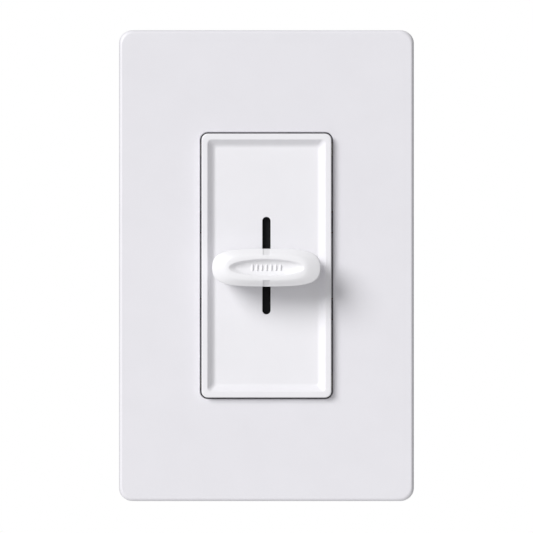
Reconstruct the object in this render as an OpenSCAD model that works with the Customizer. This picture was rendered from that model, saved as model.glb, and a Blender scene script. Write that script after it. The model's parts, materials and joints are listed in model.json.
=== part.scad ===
// Slide dimmer for a single-gang wall box, with its screwless wallplate.
// Millimetres. The wall surface is the plane y = 0, the front faces -Y and +Z is up.
// The origin lies on the wall surface, midway between the two box screws.

/* [Wallplate] */
// Width of the wallplate
plate_w = 74.7; // [72:0.1:95]
// Height of the wallplate
plate_h = 119.1; // [114:0.1:145]
// Depth of the wallplate, from the wall to its front face
plate_depth = 7.6; // [7:0.1:10]
// How much each side of the wallplate leans in, from the wall to its front
plate_taper = 0.6; // [0:0.1:1.2]
// Radius of the wallplate's corners
plate_corner_r = 3.2; // [2:0.1:6]
// Thickness of the wallplate's front wall
plate_front_wall = 1.8; // [1.2:0.1:2.2]
// Thickness of the wallplate's side walls
plate_side_wall = 1.6; // [1.2:0.1:2.2]
// Width of the decorator opening
opening_w = 33.3; // [27:0.1:36]
// Height of the decorator opening
opening_h = 66.8; // [55:0.1:70]
// Radius of the opening's corners
opening_corner_r = 2; // [1.2:0.1:3]
// Thickness of the adapter plate that the wallplate snaps on
adapter_t = 1.6; // [1.2:0.1:2]
// Distance between the two adapter screws
adapter_screw_spacing = 96.84; // [96:0.01:98]

/* [Faceplate] */
// Gap between the faceplate and the wallplate's opening
face_gap = 0.45; // [0.2:0.05:0.8]
// How far the faceplate stands out of the wallplate
face_proud = 1.8; // [1:0.1:3]
// Thickness of the faceplate's side walls
face_wall = 1.1; // [0.9:0.1:1.4]
// Width of the flat rim around the recessed panel
rim_w = 1.25; // [0.8:0.05:2]
// Depth of the recess
recess_depth = 1.5; // [0.8:0.1:2]
// Width of the sloped side of the recess
recess_slope_w = 1.3; // [0.6:0.1:2]
// Thickness of the recessed panel
panel_t = 1.4; // [1:0.1:1.8]

/* [Knob] */
// Width of the knob
knob_w = 26.7; // [22:0.1:30]
// Height of the knob at its middle
knob_h = 9.3; // [8:0.1:12]
// Depth of the knob, from its back to its front rim
knob_depth = 10.4; // [7:0.1:13]
// Gap between the knob's back and the recessed panel
knob_lift = 1.1; // [0.5:0.1:2]
// Width of the knob's front rim
knob_rim_w = 20.6; // [17:0.1:22]
// Height of the knob's front rim
knob_rim_h = 6.5; // [5:0.1:7.5]
// Width of the thumb dish
dish_w = 17.8; // [14:0.1:19]
// Height of the thumb dish
dish_h = 4; // [3:0.1:5]
// Depth of the thumb dish
dish_depth = 1.1; // [0.6:0.1:1.6]

/* [Slider] */
// Thickness of the slider's stem, across the slot
stem_t = 1.45; // [1.2:0.05:1.8]
// Height of the slider's stem, along the slot
stem_h = 5; // [4:0.1:6]
// Rest position of the slider, measured up from the middle of its travel
slider_rest = -0.5; // [-9:0.1:9]
// Clearance between the stem and each side of the slot
slot_side_gap = 0.2; // [0.1:0.05:0.4]
// Width of the shoe that slides behind the panel
shoe_w = 10; // [8:0.1:12]
// Height of the shoe
shoe_h = 12; // [11:0.1:14.4]
// Width of the neck that passes through the yoke
neck_w = 4; // [3:0.1:5]
// Height of the neck
neck_h = 8; // [6:0.1:9.6]
// Thickness of the dust shutter
shutter_t = 0.4; // [0.2:0.05:0.5]
// Running gap between sliding faces
running_gap = 0.1; // [0.05:0.01:0.15]

/* [Yoke] */
// Height of the mounting yoke
yoke_h = 105.5; // [104:0.1:110]
// Width of the yoke's ears
yoke_w = 44; // [43:0.1:46]
// Thickness of the yoke
yoke_t = 1.6; // [1.3:0.1:2]
// Width across the heat-sink fins
fin_span = 65; // [56:0.1:67]
// Height of the heat-sink fins
fin_h = 66; // [50:0.1:80]
// Distance between the two box screws
box_screw_spacing = 83.34; // [83:0.01:84]
// Length of the box screws under the head
box_screw_length = 25.4; // [19:0.1:38]

/* [Housing] */
// Width of the back housing
housing_w = 42.6; // [42:0.1:46]
// Height of the back housing
housing_h = 67; // [65:0.1:71]
// Depth of the back housing behind the wall surface
housing_depth = 29; // [27:0.1:36]
// Wall thickness of the back housing
housing_wall = 1.8; // [1.5:0.1:2.2]
// Radius of the housing's corners
housing_corner_r = 2.6; // [2:0.1:4]
// Distance from the wall surface to the circuit board
board_y = 4; // [3.9:0.1:5]
// Thickness of the circuit board
board_t = 1.6; // [1:0.1:2]

/* [Components] */
// Outer diameter of the choke's core
choke_d = 20; // [16:0.1:21]
// Inner diameter of the choke's core
choke_bore = 10; // [8:0.1:12]
// Height of the choke's core
choke_t = 8; // [6:0.1:12]
// Turns of wire on the choke
choke_turns = 26; // [20:1:28]
// Diameter of the choke's wire
choke_wire_d = 0.95; // [0.8:0.05:1.1]
// Height of the terminal screws' heads
terminal_head_t = 2.2; // [1.8:0.1:2.6]
// Gap for the wire under a terminal screw's head
wire_gap = 1; // [0.6:0.1:2]
// Distance between the two terminal screws
terminal_spacing = 20; // [18:0.1:26]

/* [Hidden] */
$fn = 48;
eps = 0.01;

// Clearances and small fits
touch_gap = 0.05;      // between fixed pieces that seat on each other
snap_gap = 0.25;       // around a snap hook in its notch
plate_fit = 0.4;       // around the adapter inside the wallplate
screw_r = 1.75;        // 6-32 screw
screw_clear = 0.35;    // radial, in a clearance hole
lead_r = 0.35;
lead_hole_r = 0.5;

// Levels along Y, from the front to the back
plate_front_y = -plate_depth;
plate_inner_y = plate_front_y + plate_front_wall;
yoke_front_y = -yoke_t;
adapter_back_y = yoke_front_y - touch_gap;
adapter_front_y = adapter_back_y - adapter_t;
face_front_y = plate_front_y - face_proud;
panel_front_y = face_front_y + recess_depth;
panel_back_y = panel_front_y + panel_t;
face_seat_y = yoke_front_y - touch_gap / 2;
shutter_front_y = panel_back_y + running_gap;
shoe_front_y = shutter_front_y + shutter_t;
shoe_back_y = yoke_front_y - running_gap;
knob_back_y = panel_front_y - knob_lift;
knob_front_y = knob_back_y - knob_depth;
neck_back_y = 0.8;
carrier_back_y = 2.7;
board_back_y = board_y + board_t;
housing_front_y = touch_gap;
sheet_back_y = touch_gap + 0.25;

// Wallplate, its snap hooks and the adapter inside it
hook_w = 8;
hook_t = 1.2;
hook_catch = 0.8;
hook_end_y = -0.9;
side_hook_z = plate_h / 4;
end_hook_x = plate_w / 4 + 1;
plate_in_w = plate_w - 2 * plate_side_wall;
plate_in_h = plate_h - 2 * plate_side_wall;
adapter_w = plate_in_w - 2 * plate_fit;
adapter_h = plate_in_h - 2 * plate_fit;
adapter_opening_gap = 0.6;
adapter_skirt_t = 1.2;
adapter_skirt_y = -0.2;
adapter_screw_zs = [-adapter_screw_spacing / 2, adapter_screw_spacing / 2];
box_screw_zs = [-box_screw_spacing / 2, box_screw_spacing / 2];
box_head_r = 3.3;

// Faceplate and the travel that its chamber allows the rigid shutter
face_w = opening_w - 2 * face_gap;
face_h = opening_h - 2 * face_gap;
face_corner_r = opening_corner_r - face_gap;
chamber_w = face_w - 2 * face_wall;
chamber_h = face_h - 2 * face_wall;
stem_end_gap = 0.1;
shutter_overlap = 0.4;
shutter_end_gap = 0.3;
travel = (chamber_h - stem_h - 2 * (stem_end_gap + shutter_overlap + shutter_end_gap)) / 3;
slot_w = stem_t + 2 * slot_side_gap;
slot_len = travel + stem_h + 2 * stem_end_gap;
shutter_w = shoe_w - 0.4;
shutter_len = slot_len + travel + 2 * shutter_overlap;
rail_gap = running_gap + 0.05;
guide_t = 1.2;
guide_reach = travel / 2 + shoe_h / 2 + 1;

// Knob socket, and the peg and springs of the slider
socket_depth = 6.5;
socket_gap = 0.04;
peg_w = 2.4;
peg_h = 5;
spring_w = 1.6;
spring_l = 9;
spring_pocket = 0.8;
spring_t = 0.2;
spring_x = (neck_w + shoe_w) / 4;

// Yoke openings and the snap legs that pass through them
yoke_slot_w = neck_w + 0.6;
yoke_slot_len = travel + neck_h + 1;
snap_z = 11;
snap_leg_h = 5;
snap_x = face_w / 2 - face_wall / 2;
snap_hook = 0.7;
yoke_box_slot = 6.4;
box_slot_w = 2 * (screw_r + screw_clear);
screw_neck_r = screw_r - 0.25;
score_x = yoke_w / 2 + 0.2;
ground_at = [-yoke_w / 2 + 7, -yoke_h / 2 + 12.5];

// Slider parts behind the yoke
carrier_w = 10;
carrier_h = 12;
carrier_reach = travel / 2 + carrier_h / 2;
wiper_x = 2.4;
wiper_z = 3.5;
bridge_z = -4;
rail_x = 7.2;
rail_w = 1.6;
rail_t = 0.5;
track_t = 0.1;
off_travel = 2;

// Housing and board outlines
housing_in_w = housing_w - 2 * housing_wall;
housing_in_h = housing_h - 2 * housing_wall;
boss_r = 2.4;
boss_x = housing_in_w / 2 - boss_r + 0.1;
boss_z = housing_in_h / 2 - boss_r + 0.1;
boss_gap = 0.4;
rivet_r = 1.2;
board_w = housing_in_w - 2.4;
board_h = housing_in_h - 0.6;

// Places on the board, as [x, z]
triac_z = carrier_reach + 6.3;
triac_tab_end_x = -boss_x + boss_r + boss_gap + 1;
triac_hole_x = triac_tab_end_x + 2.8;
triac_body_x = triac_tab_end_x + 6.6;
triac_lead_x = triac_body_x + 11.6;
triac_pitch = 2.54;
pad_t = 0.25;
triac_y = touch_gap + pad_t + 0.02;
tab_t = 1.3;
choke_at = [6.5, -board_h / 2 + choke_d / 2 + 4.2];
filter_at = [-board_w / 2 + 6.8, -14];
timing_at = [-board_w / 2 + 4.8, 5.5];
trimmer_at = [board_w / 2 - 6.9, 5.5];
diac_at = [board_w / 2 - 10, triac_z + 5];
// Each resistor is [x, z, half of its lead span]
resistor_places = [
    [board_w / 2 - 6.3, triac_z - 3.6, 5],
    [board_w / 2 - 6.3, triac_z + 0.7, 5],
    [-board_w / 2 + 9.1, -board_h / 2 + 3.6, 3.8]
];
trimmer_pins = [[-1.9, -2.3], [1.9, -2.3], [0, 2.3]];
lead_points = concat(
    [for (p = resistor_places, s = [-1, 1]) [p[0] + s * p[2], p[1]]],
    [for (s = [-1, 1]) [diac_at[0] + s * 4, diac_at[1]]],
    [for (s = [-1, 1]) [filter_at[0], filter_at[1] + s * 7.5]],
    [for (s = [-1, 1]) [timing_at[0], timing_at[1] + s * 2.5]],
    [for (p = trimmer_pins) trimmer_at + p]
);
triac_lead_points = [for (i = [-1, 0, 1]) [triac_lead_x, triac_z + i * triac_pitch]];
wire_lift = 0.06;
// The winding leaves a gap between these two angles, and its ends go down to the board there.
choke_gap_angles = [25, 65];
choke_lead_points = [
    for (a = choke_gap_angles) choke_at + (choke_d / 2 + wire_lift + choke_wire_d / 2) * [cos(a), sin(a)]
];

// Levels of the choke and the trimmer
choke_y = board_back_y + choke_wire_d + 0.6;
trimmer_size = 6.8;
trimmer_base_y = board_back_y + 0.3;
rotor_r = 2.3;
rotor_y = trimmer_base_y + 2.4;

// Side terminals
terminal_y = 21;
terminal_zs = [-terminal_spacing / 2, terminal_spacing / 2];
terminal_plate_size = 9;
terminal_plate_t = 1;
terminal_screw_r = 1.9;
housing_side_x = housing_w / 2;
tail_x = housing_in_w / 2 - 1;
terminal_recess = 1;
terminal_head_x = housing_side_x + wire_gap;

// ---- Shapes that repeat ----

// Rounded rectangle centred on the origin.
module rounded(w, h, r) {
    square([w - 2 * r, h], center = true);
    square([w, h - 2 * r], center = true);
    for (x = [-1, 1], z = [-1, 1])
        translate([x * (w / 2 - r), z * (h / 2 - r)]) circle(r);
}

// A slot outline, h long from end to end, with half-round ends.
module stadium(w, h) {
    square([w, h - w], center = true);
    for (s = [-1, 1]) translate([0, s * (h - w) / 2]) circle(w / 2);
}

// A flat XZ outline given thickness from y0 (front) to y1 (back).
module slab(y0, y1) {
    translate([0, y1, 0]) rotate([90, 0, 0]) linear_extrude(y1 - y0) children();
}

// A box from its low to its high corner.
module block(low, high) {
    translate(low) cube(high - low);
}

// A round bar along Y at [x, z], from y0 to y1.
module bar_y(at, r, y0, y1) {
    translate([at[0], y1, at[1]]) rotate([90, 0, 0]) cylinder(r = r, h = y1 - y0);
}

// A round bar along X at [y, z], from x0 to x1.
module bar_x(at, r, x0, x1) {
    translate([x0, at[0], at[1]]) rotate([0, 90, 0]) cylinder(r = r, h = x1 - x0);
}

// A slotted pan-head screw pointing along +Y, with its head's underside at y.
module slotted_screw(at, y, shank_r, length, head_r, head_t) {
    difference() {
        union() {
            bar_y(at, head_r, y - head_t, y);
            bar_y(at, shank_r, y - eps, y + length);
        }
        block([at[0] - head_r, y - head_t - 1, at[1] - 0.5],
              [at[0] + head_r, y - head_t * 0.55, at[1] + 0.5]);
    }
}

// Points of a superellipse, which rounds a lens-shaped outline.
function superellipse(w, h, power, steps) = [
    for (i = [0:steps - 1])
        let (a = 360 * i / steps, c = cos(a), s = sin(a))
            [w / 2 * sign(c) * pow(abs(c), 2 / power), h / 2 * sign(s) * pow(abs(s), 2 / power)]
];

// ---- Wallplate ----

// Places the child, a hook on the +Z wall of a frame that is h high, on all four sides.
module at_hooks(w, h) {
    for (s = [-1, 1]) {
        for (x = [-end_hook_x, end_hook_x])
            translate([x, 0, 0]) rotate([0, s > 0 ? 0 : 180, 0]) translate([0, 0, h / 2]) children();
        for (z = [-side_hook_z, side_hook_z])
            translate([0, 0, z]) rotate([0, s * 90, 0]) translate([0, 0, w / 2]) children();
    }
}

module cover_hook() {
    block([-hook_w / 2, plate_inner_y - eps, -hook_t], [hook_w / 2, hook_end_y, eps]);
    block([-hook_w / 2, adapter_back_y + touch_gap, -hook_t - hook_catch], [hook_w / 2, hook_end_y, eps]);
}

module wallplate_cover() color("whitesmoke") {
    edge_r = 0.9;
    pry_w = 9;
    front_w = plate_w - 2 * plate_taper;
    front_h = plate_h - 2 * plate_taper;
    difference() {
        // The sides lean in, then round over to the front face in three steps.
        hull() {
            slab(-1, 0) rounded(plate_w, plate_h, plate_corner_r);
            for (a = [0, 30, 60, 90])
                slab(plate_front_y + edge_r * (1 - sin(a)), plate_front_y + edge_r)
                    rounded(front_w - 2 * edge_r * (1 - cos(a)), front_h - 2 * edge_r * (1 - cos(a)),
                            plate_corner_r - edge_r * (1 - cos(a)));
        }
        slab(plate_inner_y, 1)
            rounded(plate_in_w, plate_in_h, plate_corner_r - plate_side_wall + 0.6);
        slab(plate_front_y - 1, plate_inner_y + 1) rounded(opening_w, opening_h, opening_corner_r);
        block([-pry_w / 2, -1.4, -plate_h / 2 - 1], [pry_w / 2, 1, -plate_in_h / 2 + 1]);
    }
    at_hooks(plate_in_w, plate_in_h) cover_hook();
}

module wallplate_adapter() color("gainsboro") {
    notch_w = hook_w + 2 * snap_gap;
    notch_in = hook_t + snap_gap - plate_fit;
    difference() {
        union() {
            slab(adapter_front_y, adapter_back_y)
                rounded(adapter_w, adapter_h, plate_corner_r - plate_side_wall);
            slab(adapter_front_y, adapter_skirt_y) difference() {
                rounded(adapter_w, adapter_h, plate_corner_r - plate_side_wall);
                rounded(adapter_w - 2 * adapter_skirt_t, adapter_h - 2 * adapter_skirt_t, 0.6);
            }
        }
        slab(adapter_front_y - 1, 1)
            rounded(opening_w + adapter_opening_gap, opening_h + adapter_opening_gap, opening_corner_r);
        at_hooks(adapter_w, adapter_h) {
            block([-notch_w / 2, adapter_front_y - 1, -notch_in], [notch_w / 2, 1, 1]);
            block([-notch_w / 2 - 0.5, adapter_back_y, -notch_in - hook_catch - snap_gap],
                  [notch_w / 2 + 0.5, 1, 1]);
        }
        for (z = adapter_screw_zs) bar_y([0, z], screw_r + screw_clear, -20, 20);
        for (z = box_screw_zs) bar_y([0, z], box_head_r + 0.5, -20, 20);
    }
}

module adapter_screws() color("white") {
    for (z = adapter_screw_zs)
        slotted_screw([0, z], adapter_front_y - touch_gap, screw_r - touch_gap, 6, 3.1, 1.6);
}

// ---- Faceplate ----

module faceplate() color("white") {
    recess_w = face_w - 2 * rim_w;
    recess_h = face_h - 2 * rim_w;
    difference() {
        slab(face_front_y, face_seat_y) rounded(face_w, face_h, face_corner_r);
        slab(panel_back_y, 0) rounded(chamber_w, chamber_h, 0.6);
        // The recess narrows towards the panel along its sloped sides.
        hull() {
            slab(face_front_y - 1, face_front_y + 0.2) rounded(recess_w, recess_h, 1, $fn = 32);
            slab(face_front_y - 1, panel_front_y)
                rounded(recess_w - 2 * recess_slope_w, recess_h - 2 * recess_slope_w, 0.8, $fn = 32);
        }
        slab(face_front_y - 1, 0) stadium(slot_w, slot_len);
    }
    for (s = [-1, 1])
        block(
            [s * (shoe_w / 2 + rail_gap + guide_t / 2) - guide_t / 2, panel_back_y - eps, -guide_reach],
            [s * (shoe_w / 2 + rail_gap + guide_t / 2) + guide_t / 2, yoke_front_y - 0.4, guide_reach]
        );
    for (s = [-1, 1], z = [-snap_z, snap_z]) translate([s * snap_x, 0, z]) {
        block([-face_wall / 2, face_seat_y - 1, -snap_leg_h / 2], [face_wall / 2, 1.4, snap_leg_h / 2]);
        block(
            [s > 0 ? 0 : -face_wall / 2 - snap_hook, 0.1, -snap_leg_h / 2],
            [s > 0 ? face_wall / 2 + snap_hook : 0, 1.4, snap_leg_h / 2]
        );
    }
}

// ---- Yoke and its screws ----

module yoke() color("silver") {
    groove = 0.5;
    window_gap = 0.25;
    difference() {
        slab(yoke_front_y, 0) {
            rounded(yoke_w, yoke_h, 3);
            rounded(fin_span, fin_h, 2);
        }
        // Score lines let the fins snap off beside another device.
        for (s = [-1, 1])
            block([s * score_x - groove / 2, yoke_front_y - 1, -fin_h / 2 - 1],
                  [s * score_x + groove / 2, yoke_front_y + yoke_t * 0.4, fin_h / 2 + 1]);
        for (s = [-1, 1], z = [-fin_h / 4 - 3, fin_h / 4 + 3])
            block([s * score_x - 0.9, -10, z - 6], [s * score_x + 0.9, 10, z + 6]);
        block([-yoke_slot_w / 2, -10, -yoke_slot_len / 2], [yoke_slot_w / 2, 10, yoke_slot_len / 2]);
        for (s = [-1, 1], z = [-snap_z, snap_z])
            block(
                [s * (snap_x + snap_hook / 2) - face_wall / 2 - snap_hook / 2 - window_gap, -10,
                 z - snap_leg_h / 2 - window_gap],
                [s * (snap_x + snap_hook / 2) + face_wall / 2 + snap_hook / 2 + window_gap, 10,
                 z + snap_leg_h / 2 + window_gap]
            );
        for (z = adapter_screw_zs) bar_y([0, z], screw_r, -10, 10);
        slab(-10, 10) for (z = box_screw_zs)
            translate([0, z]) rotate(90) stadium(box_slot_w, yoke_box_slot);
        bar_y(ground_at, 1.9, -10, 10);
        bar_y([triac_hole_x, triac_z], rivet_r + touch_gap, -10, 10);
        bar_y([triac_hole_x, triac_z], rivet_r + 0.9, -10, yoke_front_y + 0.8);
        for (x = [-boss_x, boss_x], z = [-boss_z, boss_z]) {
            bar_y([x, z], rivet_r + touch_gap, -10, 10);
            bar_y([x, z], rivet_r + 0.9, -10, yoke_front_y + 0.8);
        }
    }
}

// The thread starts behind the yoke. The thinner neck runs through the yoke in its retainer.
module box_screws() color("silver") {
    head_y = yoke_front_y - touch_gap;
    for (z = box_screw_zs) {
        slotted_screw([0, z], head_y, screw_neck_r, -head_y + eps, box_head_r, 1.9);
        bar_y([0, z], screw_r, 0, head_y + box_screw_length);
    }
}

// Fibre collars that fill the yoke's oblong holes and keep the box screws captive.
module screw_retainers() color("firebrick") {
    for (z = box_screw_zs) translate([0, 0, z]) difference() {
        slab(yoke_front_y + 0.1, -0.1) rotate(90) stadium(box_slot_w - 0.2, yoke_box_slot - 0.2);
        bar_y([0, 0], screw_neck_r + 0.1, -10, 10);
    }
}

// Hexagonal slotted screw on the back of the yoke's lower ear.
module ground_screw() color("green") {
    head_y = wire_gap;
    difference() {
        union() {
            translate([ground_at[0], head_y + 2.4, ground_at[1]]) rotate([90, 0, 0])
                cylinder(r = 3.9, h = 2.4, $fn = 6);
            bar_y(ground_at, 1.85, yoke_front_y, head_y + eps);
        }
        block([ground_at[0] - 4, head_y + 1.3, ground_at[1] - 0.5],
              [ground_at[0] + 4, head_y + 3, ground_at[1] + 0.5]);
    }
}

// ---- Slider ----

// Every piece of the slider is drawn about the middle of its travel, then moved to its rest position.
module at_rest() {
    translate([0, 0, slider_rest]) children();
}

// The dish is a cap of a ball, stretched into an ellipse.
module thumb_dish() {
    ball_r = (dish_h * dish_h / 4 + dish_depth * dish_depth) / (2 * dish_depth);
    translate([0, knob_front_y - ball_r + dish_depth, 0])
        scale([dish_w / dish_h, 1, 1]) sphere(ball_r, $fn = 96);
}

module knob() color("white") at_rest() {
    // Each section is [share of the depth from the back, width, height]. The sides flare a little
    // towards the front, and the crowned front falls away gently round the rim.
    sections = [
        [0, knob_w - 1.4, knob_h - 1],
        [0.89, knob_w, knob_h],
        [0.925, knob_w - 0.4, knob_h - 0.3],
        [0.945, knob_w - 1, knob_h - 0.7],
        [1, knob_rim_w, knob_rim_h]
    ];
    rib_pitch = 1.15;
    difference() {
        hull() for (s = sections)
            translate([0, knob_back_y - s[0] * knob_depth, 0])
                slab(-0.02, 0.02) polygon(superellipse(s[1], s[2], 3.2, 72));
        intersection() {
            thumb_dish();
            slab(knob_front_y - 5, knob_front_y + 5) polygon(superellipse(dish_w, dish_h, 2, 96));
        }
        slab(knob_back_y - socket_depth, knob_back_y + 1)
            stadium(stem_t + 2 * socket_gap, stem_h + 2 * socket_gap);
        // An index groove in line with the slot, above and below the rim.
        for (s = [-1, 1]) scale([1, 1, s])
            block([-0.85, knob_front_y - 1, knob_rim_h / 2 + 0.45], [0.85, knob_front_y + 0.8, knob_h]);
    }
    // Small grip ribs across the floor of the dish.
    for (i = [-3:3])
        block([i * rib_pitch - 0.2, knob_front_y + dish_depth - 0.32 - 0.03 * abs(i), -0.75],
              [i * rib_pitch + 0.2, knob_front_y + dish_depth + 0.3, 0.75]);
}

module slide_actuator() color("dimgray") at_rest() {
    difference() {
        union() {
            block([-shoe_w / 2, shoe_front_y, -shoe_h / 2], [shoe_w / 2, shoe_back_y, shoe_h / 2]);
            slab(knob_back_y - socket_depth + 0.3, shoe_front_y + 1) stadium(stem_t, stem_h);
            block([-neck_w / 2, shoe_back_y - 1, -neck_h / 2], [neck_w / 2, neck_back_y, neck_h / 2]);
            block([-peg_w / 2, 0, -peg_h / 2], [peg_w / 2, carrier_back_y - 0.4, peg_h / 2]);
        }
        for (s = [-1, 1])
            block([s * spring_x - spring_w / 2 - 0.2, shoe_back_y - spring_pocket, -spring_l / 2 - 0.3],
                  [s * spring_x + spring_w / 2 + 0.2, 0, spring_l / 2 + 0.3]);
    }
}

// Two bowed leaves that press the shoe away from the yoke and give the slider its drag.
module drag_spring() color("lightsteelblue") at_rest() {
    bow = spring_pocket - spring_t - touch_gap;
    bow_r = (spring_l * spring_l / 4 + bow * bow) / (2 * bow);
    crown_y = yoke_front_y - touch_gap;
    for (s = [-1, 1]) intersection() {
        difference() {
            bar_x([crown_y - bow_r, 0], bow_r, s * spring_x - spring_w / 2, s * spring_x + spring_w / 2);
            bar_x([crown_y - bow_r, 0], bow_r - spring_t, -shoe_w, shoe_w);
        }
        block([-shoe_w, shoe_back_y - spring_pocket + 0.02, -spring_l / 2], [shoe_w, 0, spring_l / 2]);
    }
}

module dust_shutter() color("black") at_rest() {
    slab(shutter_front_y, shutter_front_y + shutter_t - 0.02) difference() {
        rounded(shutter_w, shutter_len, 1);
        stadium(stem_t + 0.1, stem_h + 0.1);
    }
}

module wiper_carrier() color("dimgray") at_rest() {
    difference() {
        block([-carrier_w / 2, neck_back_y + 0.02, -carrier_h / 2],
              [carrier_w / 2, carrier_back_y, carrier_h / 2]);
        block([-peg_w / 2 - 0.03, 0, -peg_h / 2 - 0.03], [peg_w / 2 + 0.03, 10, peg_h / 2 + 0.03]);
    }
}

module wiper_contact() color("goldenrod") at_rest() {
    sheet_t = 0.25;
    tip_r = 0.45;
    tip_y = board_y - track_t - touch_gap - tip_r;
    foot_z = carrier_h / 2 - 1.2;
    difference() {
        block([-3.2, carrier_back_y + 0.02, 2.8], [3.2, carrier_back_y + sheet_t, carrier_h / 2 - 0.3]);
        block([-1.4, 0, 2], [1.4, 10, foot_z - 0.6]);
    }
    for (s = [-1, 1]) {
        block([s * wiper_x - 0.5, carrier_back_y + 0.1, wiper_z - 0.5],
              [s * wiper_x + 0.5, tip_y + 0.1, wiper_z + 0.5]);
        translate([s * wiper_x, tip_y, wiper_z]) sphere(tip_r);
    }
}

module switch_bridge() color("darkgoldenrod") at_rest() {
    sheet_t = 0.4;
    tip_r = 0.5;
    rail_front_y = board_y - rail_t;
    tip_y = rail_front_y - touch_gap - tip_r;
    block([-rail_x - 0.8, carrier_back_y + 0.02, bridge_z - 0.9],
          [rail_x + 0.8, carrier_back_y + sheet_t, bridge_z + 0.9]);
    for (s = [-1, 1]) translate([s * rail_x, tip_y, bridge_z]) sphere(tip_r);
}

// ---- Board and what is printed on it ----

module insulator_sheet() color("tan") {
    sheet_w = 2 * (snap_x - face_wall / 2 - 0.6);
    difference() {
        slab(touch_gap, sheet_back_y) rounded(sheet_w, housing_in_h - 2, 2);
        block([-neck_w / 2 - 0.5, -1, -yoke_slot_len / 2], [neck_w / 2 + 0.5, 2, yoke_slot_len / 2]);
        block([triac_tab_end_x - 2, -1, triac_z - 5.4], [triac_body_x + 10, 2, triac_z + 5.4]);
    }
}

// A frame that follows the housing's wall and steps round its corner bosses.
module board_spacer() color("ivory") {
    spacer_w = housing_in_w - 0.6;
    spacer_h = housing_in_h - 0.6;
    spacer_t = 1.2;
    step_t = 0.8;
    step_r = boss_r + boss_gap;
    slab(sheet_back_y + 0.02, board_y - 0.02) difference() {
        intersection() {
            square([spacer_w, spacer_h], center = true);
            union() {
                difference() {
                    square([housing_in_w, housing_in_h], center = true);
                    square([spacer_w - 2 * spacer_t, spacer_h - 2 * spacer_t], center = true);
                }
                for (x = [-boss_x, boss_x], z = [-boss_z, boss_z]) translate([x, z]) circle(step_r + step_t);
            }
        }
        for (x = [-1, 1], z = [-1, 1]) translate([x * boss_x, z * boss_z]) {
            circle(step_r);
            translate([x * step_r, z * step_r]) square([4 * step_r, 2 * step_r], center = true);
            translate([x * step_r, z * step_r]) square([2 * step_r, 4 * step_r], center = true);
        }
    }
}

module circuit_board() color("peru") {
    difference() {
        slab(board_y, board_back_y) square([board_w, board_h], center = true);
        // The triac lies flat on the yoke, so the board is cut away behind it.
        block([-board_w, 0, triac_z - 5.6], [triac_body_x + 10.2, 20, board_h]);
        for (x = [-boss_x, boss_x], z = [-boss_z, boss_z]) bar_y([x, z], boss_r + boss_gap, -5, 20);
        for (p = concat(lead_points, triac_lead_points, choke_lead_points))
            bar_y(p, lead_hole_r, 0, 20);
    }
}

module resistance_track() color("darkslategray") {
    track_z = [wiper_z - travel / 2 - 1.5, wiper_z + travel / 2 + 1.5];
    block([-wiper_x - 0.7, board_y - track_t, track_z[0]], [-wiper_x + 0.7, board_y - eps / 2, track_z[1]]);
}

module collector_strip() color("lightgray") {
    track_z = [wiper_z - travel / 2 - 1.5, wiper_z + travel / 2 + 1.5];
    block([wiper_x - 0.7, board_y - track_t, track_z[0]], [wiper_x + 0.7, board_y - eps / 2, track_z[1]]);
}

// The left rail runs the whole travel. The right one stops short, so the slide switches off at the bottom.
module switch_rails() color("gold") {
    top_z = bridge_z + travel / 2 + 1.2;
    low_z = bridge_z - travel / 2;
    block([-rail_x - rail_w / 2, board_y - rail_t, low_z - 1.2],
          [-rail_x + rail_w / 2, board_y - eps / 2, top_z]);
    block([rail_x - rail_w / 2, board_y - rail_t, low_z + off_travel],
          [rail_x + rail_w / 2, board_y - eps / 2, top_z]);
}

module solder_joints() color("silver") {
    for (p = concat(lead_points, triac_lead_points, choke_lead_points))
        translate([p[0], board_y - eps, p[1]]) rotate([90, 0, 0]) difference() {
            cylinder(r1 = 0.85, r2 = lead_r + 0.15, h = 0.6);
            translate([0, 0, -1]) cylinder(r = lead_r + 0.01, h = 3);
        }
}

// ---- Triac, held on the yoke so that the yoke cools it ----

module triac_pad() color("lightgray") {
    difference() {
        block([triac_tab_end_x - 0.4, touch_gap, triac_z - 5.3],
              [triac_body_x + 9.4, touch_gap + pad_t, triac_z + 5.3]);
        bar_y([triac_hole_x, triac_z], rivet_r + touch_gap, -5, 5);
    }
}

module triac_tab() color("silver") {
    difference() {
        block([triac_tab_end_x, triac_y, triac_z - 5], [triac_body_x + 9, triac_y + tab_t, triac_z + 5]);
        bar_y([triac_hole_x, triac_z], rivet_r + touch_gap, -5, 5);
        block([triac_body_x, triac_y - 1, triac_z - 6], [triac_body_x + 10, triac_y + 0.4, triac_z - 4.6]);
    }
}

module triac_body() color("black") {
    difference() {
        block([triac_body_x, triac_y + tab_t + 0.01, triac_z - 5],
              [triac_body_x + 9.2, triac_y + 4.5, triac_z + 5]);
        for (s = [-1, 1])
            translate([triac_body_x, triac_y + 4.5, triac_z + s * 5])
                rotate([45, 0, 0]) cube([30, 1, 1], center = true);
        for (p = triac_lead_points) bar_x([triac_y + 2.5, p[1]], 0.42, triac_body_x + 7, 40);
    }
}

module triac_leads() color("silver") {
    for (p = triac_lead_points) {
        bar_x([triac_y + 2.5, p[1]], lead_r, triac_body_x + 7.5, p[0] + lead_r);
        bar_y(p, lead_r, triac_y + 2.5, board_back_y + 0.8);
    }
}

module triac_rivet() color("silver") {
    bar_y([triac_hole_x, triac_z], rivet_r, yoke_front_y + 0.02, triac_y + tab_t + 1);
    bar_y([triac_hole_x, triac_z], rivet_r + 0.85, yoke_front_y + 0.02, yoke_front_y + 0.78);
    bar_y([triac_hole_x, triac_z], rivet_r + 1.2, triac_y + tab_t + touch_gap, triac_y + tab_t + 1);
}

// ---- Components on the board ----

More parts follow.
